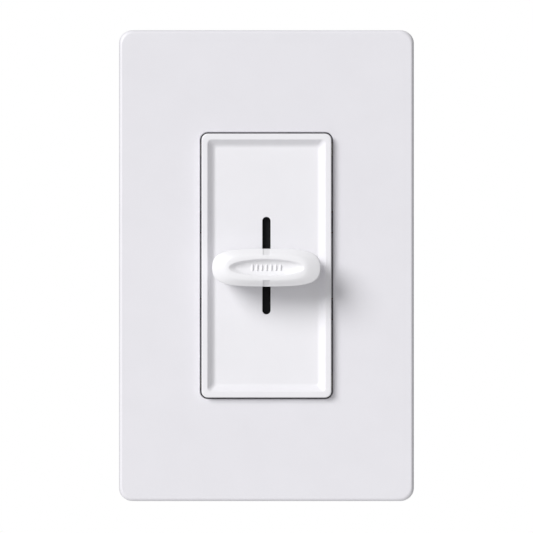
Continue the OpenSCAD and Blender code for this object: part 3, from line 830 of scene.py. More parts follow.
@dataclass(frozen=True)
class Fibre(Finish):
    """Pressed fibre, laminate or paper.

    Attributes:
        colour: colour of the resin.
        strand: colour of the strands.
        rough: roughness.
        weave: how many times longer the strands are along each axis.
    """

    colour: Colour
    strand: Colour
    rough: float = 0.6
    weave: tuple[float, float, float] = (8, 1, 1)

    def mix(self, name: str) -> bpy.types.Material:
        """Make the sheet.

        Args:
            name: name of the material.

        Returns:
            The material.
        """
        paint = Paint(name)
        strands = paint.noise(0.18, 4, self.weave)
        cross = paint.noise(0.22, 3, tuple(reversed(self.weave)))
        patch = paint.noise(5, 2)
        paint.set(
            Base_Color=paint.blend((strands + cross) * 0.6 - 0.1, self.colour, self.strand),
            Roughness=self.rough + (patch - 0.5) * 0.15,
            Normal=paint.relief(strands, 0.004),
        )
        return paint.material


@dataclass(frozen=True)
class Dipped(Finish):
    """A glossy dipped or enamelled coat with a slight orange peel.

    Attributes:
        colour: colour of the coat.
        under: colour that shows through where the coat is thin.
        rough: roughness.
        coat: clear coat over it.
        metal: how metallic it is.
        peel: depth of the orange peel.
    """

    colour: Colour
    under: Colour
    rough: float = 0.25
    coat: float = 0.6
    metal: float = 0.0
    peel: float = 0.006

    def mix(self, name: str) -> bpy.types.Material:
        """Make the coat.

        Args:
            name: name of the material.

        Returns:
            The material.
        """
        paint = Paint(name)
        drops = paint.noise(0.9, 1)
        thin = paint.noise(2.6, 3)
        paint.set(
            Base_Color=paint.blend(thin * 0.7, self.colour, self.under),
            Roughness=self.rough + (thin - 0.5) * 0.1,
            Metallic=self.metal,
            Coat_Weight=self.coat,
            Coat_Roughness=0.08,
            Normal=paint.relief(drops, self.peel),
        )
        return paint.material


@dataclass(frozen=True)
class Grainy(Finish):
    """A matt body with specks: printed carbon, ceramic, filled resin or solder.

    Attributes:
        colour: main colour.
        speck: colour of the specks.
        rough: roughness.
        size: size of the specks.
        metal: how metallic it is.
    """

    colour: Colour
    speck: Colour
    rough: float = 0.6
    size: float = 0.25
    metal: float = 0.0

    def mix(self, name: str) -> bpy.types.Material:
        """Make the body.

        Args:
            name: name of the material.

        Returns:
            The material.
        """
        paint = Paint(name)
        cells = paint.specks(self.size)
        grain = paint.noise(self.size * 2, 3)
        paint.set(
            Base_Color=paint.blend((grain - 0.3) * 0.9, self.colour, self.speck),
            Roughness=self.rough + (cells - 0.4) * 0.15,
            Metallic=self.metal,
            Normal=paint.relief(cells, 0.003),
        )
        return paint.material


WHITE = (0.775, 0.765, 0.805)  # the wallplate's white, slightly violet
FINISHES: dict[str, Finish] = {
    "plate_white": Moulded(WHITE),
    "adapter_white": Moulded((0.62, 0.62, 0.63), rough=0.5),
    "white_enamel": Dipped((0.72, 0.72, 0.73), (0.62, 0.62, 0.64)),
    "face_white": Moulded((0.825, 0.818, 0.850), rough=0.38),
    # the knob's groove setting paints shade and a dark reflection into its index groove as a greyer stripe
    "knob_white": Moulded((0.86, 0.855, 0.88), rough=0.30, depth=0.0014, grain=0.22, groove=0.86),
    "yoke_metal": Metal((0.66, 0.66, 0.67), (0.42, 0.43, 0.45), 0.36, (1, 1, 14), 0.5),
    "screw_steel": Metal((0.70, 0.68, 0.62), (0.45, 0.42, 0.36), 0.28),
    "retainer_fibre": Fibre((0.20, 0.035, 0.025), (0.30, 0.07, 0.045)),
    "ground_green": Dipped((0.02, 0.20, 0.06), (0.10, 0.30, 0.12), 0.3, 0.4, 0.6),
    "nylon_grey": Moulded((0.16, 0.16, 0.17), rough=0.38, grain=0.4),
    "shutter_black": Moulded((0.005, 0.005, 0.006), rough=0.6, grain=0.2, ior=1.25),
    "spring_steel": Metal((0.60, 0.61, 0.63), (0.40, 0.40, 0.43), 0.22, (1, 1, 10), 0.3),
    "contact_brass": Metal((0.80, 0.60, 0.28), (0.55, 0.36, 0.14), 0.26, (6, 1, 1), 0.4),
    "sheet_fibre": Fibre((0.42, 0.30, 0.17), (0.55, 0.43, 0.27)),
    "spacer_ivory": Moulded((0.66, 0.60, 0.46), rough=0.5),
    "board_phenolic": Fibre((0.36, 0.19, 0.075), (0.50, 0.30, 0.13), 0.45),
    "track_carbon": Grainy((0.012, 0.012, 0.013), (0.05, 0.05, 0.055), 0.5, 0.08),
    "track_silver": Grainy((0.62, 0.61, 0.58), (0.46, 0.45, 0.43), 0.4, 0.1, 0.8),
    "rail_brass": Metal((0.80, 0.60, 0.28), (0.50, 0.32, 0.12), 0.3, (1, 1, 12), 0.5),
    "solder": Grainy((0.62, 0.62, 0.63), (0.48, 0.48, 0.50), 0.3, 0.3, 0.95),
    "triac_black": Moulded((0.018, 0.018, 0.019), rough=0.55, grain=0.12, depth=0.004),
    "tab_metal": Metal((0.72, 0.71, 0.70), (0.50, 0.49, 0.48), 0.34, (10, 1, 1), 0.4),
    "lead_tin": Metal((0.70, 0.70, 0.71), (0.48, 0.48, 0.50), 0.3),
    "pad_grey": Fibre((0.34, 0.35, 0.37), (0.46, 0.47, 0.49), 0.7),
    "core_yellow": Dipped((0.62, 0.50, 0.08), (0.50, 0.38, 0.05), 0.35, 0.3),
    "winding_copper": Dipped((0.62, 0.24, 0.10), (0.42, 0.13, 0.05), 0.24, 0.7, 0.9, 0.002),
    "film_yellow": Dipped((0.74, 0.50, 0.05), (0.62, 0.40, 0.04)),
    "film_green": Dipped((0.04, 0.26, 0.10), (0.03, 0.18, 0.07)),
    "diac_blue": Dipped((0.05, 0.16, 0.42), (0.03, 0.10, 0.30)),
    "resistor_tan": Dipped((0.58, 0.42, 0.25), (0.48, 0.33, 0.18), 0.35, 0.3),
    "trimmer_blue": Moulded((0.03, 0.12, 0.46), rough=0.35),
    "rotor_white": Moulded((0.66, 0.66, 0.64), rough=0.4),
    "terminal_brass": Metal((0.78, 0.58, 0.27), (0.46, 0.30, 0.13), 0.28, (1, 1, 1), 0.5),
    "housing_black": Moulded((0.014, 0.014, 0.015), rough=0.48, grain=0.4, depth=0.006, wave=0.02),
}


class Palette:
    """Makes each finish once and puts it on pieces."""

    def __init__(self) -> None:
        """Start with no finish made."""
        self.made: dict[str, bpy.types.Material] = {}

    def dress(self, piece: bpy.types.Object, slot: str) -> None:
        """Put a slot's finish on a piece.

        Args:
            piece: the piece.
            slot: the record's material slot.
        """
        if slot not in self.made:
            self.made[slot] = FINISHES[slot].mix(f"finish_{slot}")
        if not piece.material_slots:
            piece.data.materials.append(self.made[slot])
        for holder in piece.material_slots:
            holder.material = self.made[slot]


class Assembly:
    """A group of pieces that replace or dress CAD nodes."""

    def __init__(self, palette: Palette, nodes: dict[str, bpy.types.Object]) -> None:
        """Keep the palette and the frame's CAD nodes, and read each node's slot.

        Args:
            palette: makes the finishes.
            nodes: the CAD nodes by name.
        """
        self.palette = palette
        self.nodes = nodes
        self.slots = {
            name: node.material_slots[0].material.name.split(".")[0] for name, node in nodes.items()
        }

    def stand_in(self, piece: bpy.types.Object, node: str) -> None:
        """Let a piece stand for a CAD node, with its body and its finish.

        Args:
            piece: the new piece.
            node: the CAD node that it replaces.
        """
        piece.name = piece.data.name = f"{node}_piece"
        self.palette.dress(piece, self.slots[node])
        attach(piece, self.nodes[node]["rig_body"])
        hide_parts(node)
        LOG.info("%s stands for %s, %d faces", piece.name, node, len(piece.data.polygons))

    def carry(self, node: str, edge: float = 0.08) -> None:
        """Keep a CAD node's shape, round its sharp edges and give it its finish.

        Args:
            node: the CAD node.
            edge: how far its edges are rounded.
        """
        piece = self.nodes[node]
        Bench.modify(piece, "WELD", False, merge_threshold=SAME_PLACE)
        Bench.modify(piece, "DECIMATE", False, decimate_type="DISSOLVE", angle_limit=FLAT)
        Bench.ease(piece, edge, 2, 42, False)
        Bench.modify(piece, "WEIGHTED_NORMAL", False, keep_sharp=True, weight=FACE_LEAD)
        self.palette.dress(piece, self.slots[node])
        LOG.info("%s keeps its shape", node)


# ---- Screws ----


@dataclass(frozen=True)
class Screw:
    """A machine screw along +Y, with the underside of its head at y = 0.

    Attributes:
        head_r: radius of the head.
        head_t: thickness of the head.
        dome: how far the head's outer edge is rounded.
        shank_r: radius over the thread.
        neck_r: radius of the plain neck.
        neck: length of the plain neck.
        length: length under the head.
        pitch: distance between threads.
        sides: sides of the head, 6 for a hexagon.
        cross: whether the slot is crossed by a second one.
        slot: width of the slots.
    """

    head_r: float
    head_t: float
    dome: float
    shank_r: float
    neck_r: float
    neck: float
    length: float
    pitch: float = 0.794
    sides: int = 48
    cross: bool = True
    slot: float = 1.0

    def _thread(self) -> bpy.types.Object:
        """Wind a pointed profile into a thread, and close its ends.

        Returns:
            The threaded shank.
        """
        deep = self.pitch * 0.5
        turns = math.ceil((self.length - self.neck) / self.pitch) + 3
        Bench.clear()
        bpy.ops.mesh.primitive_circle_add(vertices=4, radius=1)
        thread = bpy.context.object
        Bench.edit(thread)
        Bench.choose(Element.VERT, lambda p, n: p.x < -1)
        bpy.ops.mesh.delete(type="VERT")
        Bench.clear()
        thread.scale = (deep * MM, self.pitch / 2 * MM, 1)
        thread.location = ((self.shank_r - deep) * MM, (self.neck - self.pitch) * MM, 0)
        Bench.take(thread)
        Bench.fix("thread")
        Bench.modify(
            thread, "SCREW", axis="Y", angle=2 * math.pi, screw_offset=self.pitch * MM, iterations=turns,
            steps=20, render_steps=20, use_merge_vertices=True, merge_threshold=SAME_PLACE / 10,
        )
        Bench.edit(thread)
        bpy.ops.mesh.remove_doubles(threshold=SAME_PLACE / 10)
        for end, way in ((self.neck, -1), (self.length, 1)):
            bpy.ops.mesh.select_all(action="SELECT")
            bpy.ops.mesh.bisect(
                plane_co=(0, end * MM, 0), plane_no=(0, way, 0), use_fill=True, clear_outer=True,
                threshold=SAME_PLACE / 10,
            )
        for end in (self.neck, self.length):
            Bench.choose(Element.VERT, lambda p, n, e=end: abs(p.y - e) < 0.001)
            bpy.ops.transform.resize(value=(0.78, 1, 0.78), center_override=(0, end * MM, 0))
        Bench.tidy(thread)
        return thread

    def build(self, name: str) -> bpy.types.Object:
        """Make the head with its slots, the neck and the thread.

        Args:
            name: name of the screw.

        Returns:
            The screw.
        """
        head = Bench.rod(name, (0, -self.head_t, 0), self.head_r, self.head_t, sides=self.sides)
        Bench.edit(head)
        Bench.choose(Element.EDGE, lambda p, n: p.y < -self.head_t + 0.01)
        bpy.ops.mesh.bevel(offset=self.dome * MM, segments=5, affect="EDGES", profile=0.5)
        Bench.choose(Element.EDGE, lambda p, n: p.y > -0.01)
        bpy.ops.mesh.bevel(offset=0.12 * MM, segments=2, affect="EDGES")
        Bench.clear()
        reach = self.head_r + 1
        for turn in (0, 90) if self.cross else (0,):
            wide = reach if turn == 0 else self.head_r * 0.52
            half = self.slot / 2
            cutter = Bench.block(
                "cutter", (-wide, -self.head_t - 1, -half), (wide, -self.head_t * 0.55, half)
            )
            Bench.work_in(head, Bench.copy(cutter, turn=turn), Merge.CUT)
            bpy.data.objects.remove(cutter)
        Bench.tidy(head)
        Bench.ease(head, 0.07, 2, 50)
        parts = [head]
        if self.neck > 0:
            parts.append(Bench.rod("neck", (0, -0.1, 0), self.neck_r, self.neck + 0.3, sides=32))
        parts.append(self._thread())
        screw = Bench.join(name, parts)
        Bench.polish(screw, 38)
        return screw


# ---- Sub-assemblies ----


@dataclass
class Wallplate:
    """The screwless cover, with the adapter and the screws behind it.

    Attributes:
        shop: the frame and the palette.
        taper: how much each side leans in.
        corner: radius of the outer corners.
        edge: rounding of the front edge.
        front_wall: thickness of the front wall.
        side_wall: thickness of the side walls.
        opening: width, height and corner radius of the opening.
        lip: rounding of the opening's edge.
        catch: width, thickness and catch of a snap hook.
        notch: width and depth of the pry notch.
        screw_head: radius and thickness of the adapter screws' heads.
    """

    shop: Assembly
    taper: float = 0.6
    corner: float = 3.2
    edge: float = 0.9
    front_wall: float = 1.8
    side_wall: float = 1.6
    opening: tuple[float, float, float] = (33.3, 66.8, 2.0)
    lip: float = 0.3
    catch: tuple[float, float, float] = (8.0, 1.2, 0.8)
    notch: tuple[float, float] = (9.0, 1.4)
    screw_head: tuple[float, float] = (3.1, 1.6)

    def _hook(self, inner_y: float) -> bpy.types.Object:
        """Make one snap hook that stands on a wall above it.

        Args:
            inner_y: the inside of the front wall.

        Returns:
            The hook, with its root at z = 0.
        """
        wide, thick, reach = self.catch
        sink, neck, tip = 0.4, -1.6, -0.9
        hook = Bench.block("hook", (-wide / 2, inner_y - sink, -thick), (wide / 2, tip, sink))
        Bench.edit(hook)
        bpy.ops.mesh.bisect(plane_co=(0, neck * MM, 0), plane_no=(0, 1, 0))
        Bench.choose(Element.FACE, lambda p, n: n.z < -0.9 and p.y > neck)
        bpy.ops.mesh.extrude_region_move(TRANSFORM_OT_translate={"value": (0, 0, -reach * MM)})
        Bench.choose(Element.EDGE, lambda p, n: p.z < -thick - reach + 0.01 and p.y > tip - 0.05)
        bpy.ops.mesh.bevel(offset=0.35 * MM, segments=3, affect="EDGES")
        Bench.clear()
        Bench.ease(hook, 0.12, 2)
        return hook

    def build_cover(self) -> bpy.types.Object:
        """Loft the cover as one closed ring, then add its hooks and its pry notch.

        Returns:
            The cover.
        """
        low, high = span("wallplate_cover")
        wide, tall, front = high.x - low.x, high.z - low.z, low.y
        inner, lean, wall = front + self.front_wall, 2 * self.taper, 2 * self.side_wall
        in_wide, in_tall, in_corner = wide - wall, tall - wall, self.corner - self.side_wall + 0.6
        open_w, open_h, open_r = self.opening
        cover = Loft((
            Section(wide, tall, 0, self.corner, 0.12, 2),
            Section(wide, tall, -1, self.corner),
            Section(wide - lean, tall - lean, front, self.corner, self.edge, 7),
            Section(open_w, open_h, front, open_r, self.lip, 5),
            Section(open_w, open_h, inner, open_r, 0.2, 2),
            Section(in_wide, in_tall, inner, in_corner, 0.3, 3),
            Section(in_wide, in_tall, 0, in_corner, 0.12, 2),
        ), ring=True).build("cover")
        hook = self._hook(inner)
        across, up = wide / 4 + 1, tall / 4
        spots = [((x, 0, s * in_tall / 2), 0 if s > 0 else 180) for s in (1, -1) for x in (-across, across)]
        spots += [((s * in_wide / 2, 0, z), s * 90) for s in (1, -1) for z in (-up, up)]
        hooks = Bench.join("hooks", [Bench.copy(hook, shift, turn) for shift, turn in spots])
        bpy.data.objects.remove(hook)
        Bench.work_in(cover, hooks, Merge.FUSE)
        pry_w, pry_d = self.notch
        pry = Bench.block("pry", (-pry_w / 2, -pry_d, -tall / 2 - 1), (pry_w / 2, 1, -in_tall / 2 + 0.3))
        Bench.ease(pry, 0.3, 3)
        Bench.work_in(cover, pry, Merge.CUT)
        Bench.tidy(cover)
        Bench.polish(cover)
        return cover

    def build_screws(self) -> bpy.types.Object:
        """Make the two enamelled screws that hold the adapter.

        Returns:
            Both screws as one piece.
        """
        low, high = span("adapter_screws")
        head_r, head_t = self.screw_head
        head_y = low.y + head_t
        screw = Screw(head_r, head_t, 0.7, 1.7, 1.5, 0.3, high.y - head_y, cross=False).build("screw")
        z = high.z - head_r
        pair = [Bench.copy(screw, (0, head_y, side * z)) for side in (-1, 1)]
        bpy.data.objects.remove(screw)
        return Bench.join("adapter_screws", pair)

    def build(self) -> None:
        """Build and dress the wallplate's pieces."""
        self.shop.stand_in(self.build_cover(), "wallplate_cover")
        self.shop.stand_in(self.build_screws(), "adapter_screws")
        self.shop.carry("wallplate_adapter", 0.15)


@dataclass
class Faceplate:
    """The decorator faceplate with its recess, slot, guide rails and snap legs.

    Attributes:
        shop: the frame and the palette.
        size: width, height and corner radius.
        seat: y of the back edge.
        wall: thickness of the side walls.
        rim: width of the flat rim, and corner radius of its inner edge.
        recess: depth of the panel below the rim.
        wall_run: width and drop of the steep band inside the rim.
        cove_run: width of the cove between that band and the panel.
        panel: thickness of the panel.
        slot: width and length of the slot.
        chamber_r: corner radius of the space behind the panel.
        leg: height, inner x, outer x and z of the snap legs.
        barb: how far a leg's barb stands out, and how much of its tip is cut off at a slant.
        rail: inner x, thickness, half length and back of the guide rails.
    """

    shop: Assembly
    size: tuple[float, float, float] = (32.4, 65.9, 1.55)
    seat: float = -1.625
    wall: float = 1.1
    rim: tuple[float, float] = (1.48, 1.05)
    recess: float = 1.5
    wall_run: tuple[float, float] = (0.85, 0.88)
    cove_run: float = 1.2
    panel: float = 1.4
    slot: tuple[float, float] = (2.05, 24.4)
    chamber_r: float = 0.6
    leg: tuple[float, float, float, float] = (5.0, 15.1, 16.2, 11.0)
    barb: tuple[float, float] = (0.7, 0.55)
    rail: tuple[float, float, float, float] = (5.15, 1.2, 16.51, -2.0)

    def build_shell(self, front: float) -> bpy.types.Object:
        """Loft the shell as one closed ring, from its back edge over the front to the chamber.

        Args:
            front: y of the rim.

        Returns:
            The shell.
        """
        wide, tall, corner = self.size
        slot_w, slot_h = self.slot
        run, drop = self.wall_run
        seat, floor = self.seat, front + self.recess
        rim, inner_r = self.rim
        in_w, in_h = wide - 2 * rim, tall - 2 * rim
        steps = [(run / 2, drop / 2), (run, drop)]
        steps += [
            (run + self.cove_run * u, drop + (self.recess - drop) * (2 * u - u * u))
            for u in (0.14, 0.28, 0.42, 0.56, 0.7, 0.84, 1)
        ]
        cove = [
            Section(in_w - 2 * i, in_h - 2 * i, front + d, max(inner_r - i * 0.25, 0.5)) for i, d in steps
        ]
        room_w, room_h = wide - 2 * self.wall, tall - 2 * self.wall
        return Loft((
            Section(wide, tall, seat, corner, 0.12, 2),
            Section(wide, tall, front, corner, 0.28, 5),
            Section(in_w, in_h, front, inner_r, 0.14, 3),
            *cove,
            Section(slot_w, slot_h, floor, slot_w * 0.497, 0.1, 3),
            Section(slot_w, slot_h, floor + self.panel, slot_w * 0.497, 0.1, 2),
            Section(room_w, room_h, floor + self.panel, self.chamber_r),
            Section(room_w, room_h, seat, self.chamber_r, 0.12, 2),
        ), ring=True).build("faceplate")

    def build_leg(self) -> bpy.types.Object:
        """Make the snap leg on the right, with its barb, at the middle height.

        Returns:
            The leg.
        """
        tall, inner, outer, _ = self.leg
        reach, slant = self.barb
        root, neck, tip = -2.625, 0.1, 1.4
        leg = Bench.block("leg", (inner, root, -tall / 2), (outer, tip, tall / 2))
        Bench.edit(leg)
        bpy.ops.mesh.bisect(plane_co=(0, neck * MM, 0), plane_no=(0, 1, 0))
        Bench.choose(Element.FACE, lambda p, n: n.x > 0.9 and p.y > neck)
        bpy.ops.mesh.extrude_region_move(TRANSFORM_OT_translate={"value": (reach * MM, 0, 0)})
        Bench.choose(Element.EDGE, lambda p, n: p.x > outer + reach - 0.05 and p.y > tip - 0.05)
        bpy.ops.mesh.bevel(offset=slant * MM, segments=2, affect="EDGES")
        Bench.clear()
        Bench.ease(leg, 0.1, 2)
        return leg

    def build(self) -> None:
        """Build and dress the faceplate."""
        front = span("faceplate")[0].y
        shell = self.build_shell(front)
        leg = self.build_leg()
        rise = self.leg[3]
        parts = [Bench.copy(leg, (0, 0, z), turn) for turn in (0, 180) for z in (-rise, rise)]
        bpy.data.objects.remove(leg)
        inner, thick, half, back = self.rail
        behind = front + self.recess + self.panel - 0.3
        for low in (inner, -inner - thick):
            rail = Bench.block("rail", (low, behind, -half), (low + thick, back, half))
            Bench.ease(rail, 0.15, 2)
            parts.append(rail)
        for part in parts:
            Bench.work_in(shell, part, Merge.FUSE)
        Bench.tidy(shell)
        Bench.polish(shell)
        self.shop.stand_in(shell, "faceplate")


@dataclass
class Knob:
    """The oval slider knob, with its thumb dish, grip ribs and index groove.

    Attributes:
        shop: the frame and the palette.
        rim: width and height of the front rim.
        dish: width, height and depth of the thumb dish.
        lip: how much narrower, lower and deeper the foot of the dish's steep edge is.
        bowl: handle lengths of the dish's outline.
        full: handle lengths that make the outline full.
        crown: how far the front falls from the rim to its outer edge.
        edge: radius of the outer edge.
        flare: how much narrower and lower the back is.
        stem: width and height of the socket, and its depth.
        rib: pitch, width, height and count of the grip ribs.
        groove: half width and depth of the index groove.
        slope: least and greatest height of the normal of a face that the groove crosses.
    """

    shop: Assembly
    rim: tuple[float, float] = (19.4, 6.1)
    dish: tuple[float, float, float] = (18.4, 4.2, 1.45)
    lip: tuple[float, float, float] = (3.0, 0.6, 0.9)
    bowl: tuple[float, float] = (0.57, 0.55)
    full: tuple[float, float] = (0.74, 0.9)
    crown: float = 1.0
    edge: float = 0.45
    flare: tuple[float, float] = (1.4, 1.0)
    stem: tuple[float, float, float] = (1.53, 5.08, 6.5)
    rib: tuple[float, float, float, int] = (1.15, 0.4, 1.5, 7)
    groove: tuple[float, float] = (0.875, 0.16)
    slope: tuple[float, float] = (0.12, 0.97)

    def _sections(self, low: Vector, high: Vector) -> list[Section]:
        """List the outlines from the back, over the rim and down into the dish.

        Args:
            low: lowest corner of the knob.
            high: highest corner of the knob.

        Returns:
            The outlines.
        """
        up = (low.z + high.z) / 2
        wide, tall = high.x - low.x, high.z - low.z
        back, front = high.y - SKIN, low.y + SKIN
        rim_w, rim_h = self.rim
        widest = front + self.crown + self.edge
        flare_w, flare_h = self.flare
        rows = []
        for share in (0, 0.25, 0.5, 0.75, 1):
            rows.append(Section(
                wide - flare_w * (1 - share), tall - flare_h * (1 - share), back + (widest - back) * share,
                soften=0.25 if share == 0 else 0.0, arcs=self.full, up=up,
            ))
        for turn in (15, 30, 45, 60, 72):
            a = math.radians(turn)
            inset = 2 * self.edge * (1 - math.cos(a))
            rows.append(Section(
                wide - inset, tall - inset, widest - self.edge * math.sin(a), arcs=self.full, up=up,
            ))
        last = rows[-1]
        for share in (0.12, 0.25, 0.4, 0.55, 0.7, 0.85, 1):
            fall = (1 - share) ** 1.2
            rows.append(Section(
                rim_w + (last.width - rim_w) * (1 - share), rim_h + (last.height - rim_h) * (1 - share),
                front + (last.y - front) * fall, arcs=self.full, up=up,
            ))
        dish_w, dish_h, deep = self.dish
        lip_w, lip_h, drop = self.lip
        rows.append(Section(dish_w, dish_h, front, soften=0.12, steps=3, arcs=self.bowl, up=up))
        rows.append(Section(
            dish_w - lip_w, dish_h - lip_h, front + drop, soften=0.12, steps=3, arcs=self.bowl, up=up,
        ))
        for share in (0.86, 0.72, 0.58, 0.44, 0.3, 0.15):
            rows.append(Section(
                (dish_w - lip_w) * share**0.6, (dish_h - lip_h) * share,
                front + drop + (deep - drop) * (1 - share**2), arcs=self.bowl, up=up,
            ))
        return rows

    def _mark(self, knob: bpy.types.Object, up: float) -> None:
        """Sink the index groove into the upper and lower slope.

        Args:
            knob: the knob.
            up: height of the knob's middle.
        """
        half, deep = self.groove
        flat, steep = self.slope
        crest = self.rim[1] / 2 + 0.05
        Bench.edit(knob)
        for x in (-half, half):
            bpy.ops.mesh.select_all(action="SELECT")
            bpy.ops.mesh.bisect(plane_co=(x * MM, 0, 0), plane_no=(1, 0, 0))
        Bench.choose(
            Element.FACE,
            lambda p, n: abs(p.x) < half and flat < abs(n.z) < steep and abs(p.z - up) > crest,
        )
        bpy.ops.mesh.inset(thickness=0.06 * MM, depth=-deep * MM)
        Bench.clear()

    def build(self) -> None:
        """Build and dress the knob."""
        low, high = span("knob")
        knob = Loft(self._sections(low, high), Outline.OVAL, fineness=16).build("knob")
        up = (low.z + high.z) / 2
        self._mark(knob, up)
        stem_w, stem_h, deep = self.stem
        socket = Loft((
            Section(stem_w, stem_h, high.y - deep, stem_w * 0.497, up=up),
            Section(stem_w, stem_h, high.y + 1, stem_w * 0.497, up=up),
        )).build("socket")
        Bench.work_in(knob, socket, Merge.CUT)
        Bench.tidy(knob)
        Bench.polish(knob, 32, False)
        pitch, thick, tall, count = self.rib
        floor = low.y + SKIN + self.dish[2]
        rib = Bench.block(
            "rib", (-thick / 2, floor - 0.3, up - tall / 2), (thick / 2, floor + 0.4, up + tall / 2)
        )
        Bench.ease(rib, 0.13, 3)
        Bench.polish(rib)
        middle = (count - 1) / 2
        ribs = [
            Bench.copy(rib, ((i - middle) * pitch, -0.028 * abs(i - middle), 0)) for i in range(count)
        ]
        bpy.data.objects.remove(rib)
        self.shop.stand_in(Bench.join("knob", [knob, *ribs]), "knob")


@dataclass
class Mounting:
    """The yoke with its screws.

    Attributes:
        shop: the frame and the palette.
        box_screw: the screw that goes into the wall box.
        ground: the green hexagonal screw.
    """

    shop: Assembly
    box_screw: Screw = Screw(3.3, 1.9, 1.1, 1.75, 1.5, 1.66, 25.4)
    ground: Screw = Screw(3.9, 2.4, 0.4, 1.85, 1.6, 0.2, 2.6, sides=6, cross=False)

    def build(self) -> None:
        """Build and dress the mounting pieces."""
        low, high = span("box_screws")
        screw = self.box_screw.build("screw")
        head_y, z = low.y + self.box_screw.head_t, high.z - self.box_screw.head_r
        pair = [Bench.copy(screw, (0, head_y, side * z)) for side in (-1, 1)]
        bpy.data.objects.remove(screw)
        self.shop.stand_in(Bench.join("box_screws", pair), "box_screws")
        low, high = span("ground_screw")
        screw = self.ground.build("screw")
        centre = (low + high) / 2
        turned = Bench.copy(screw, turn=180, axis=Axis.Z)
        green = Bench.copy(turned, (centre.x, high.y - self.ground.head_t, centre.z), 30)
        for spare in (screw, turned):
            bpy.data.objects.remove(spare)
        self.shop.stand_in(green, "ground_screw")
        self.shop.carry("yoke", 0.16)
        self.shop.carry("screw_retainers", 0.08)
        self.shop.carry("housing_rivets", 0.08)


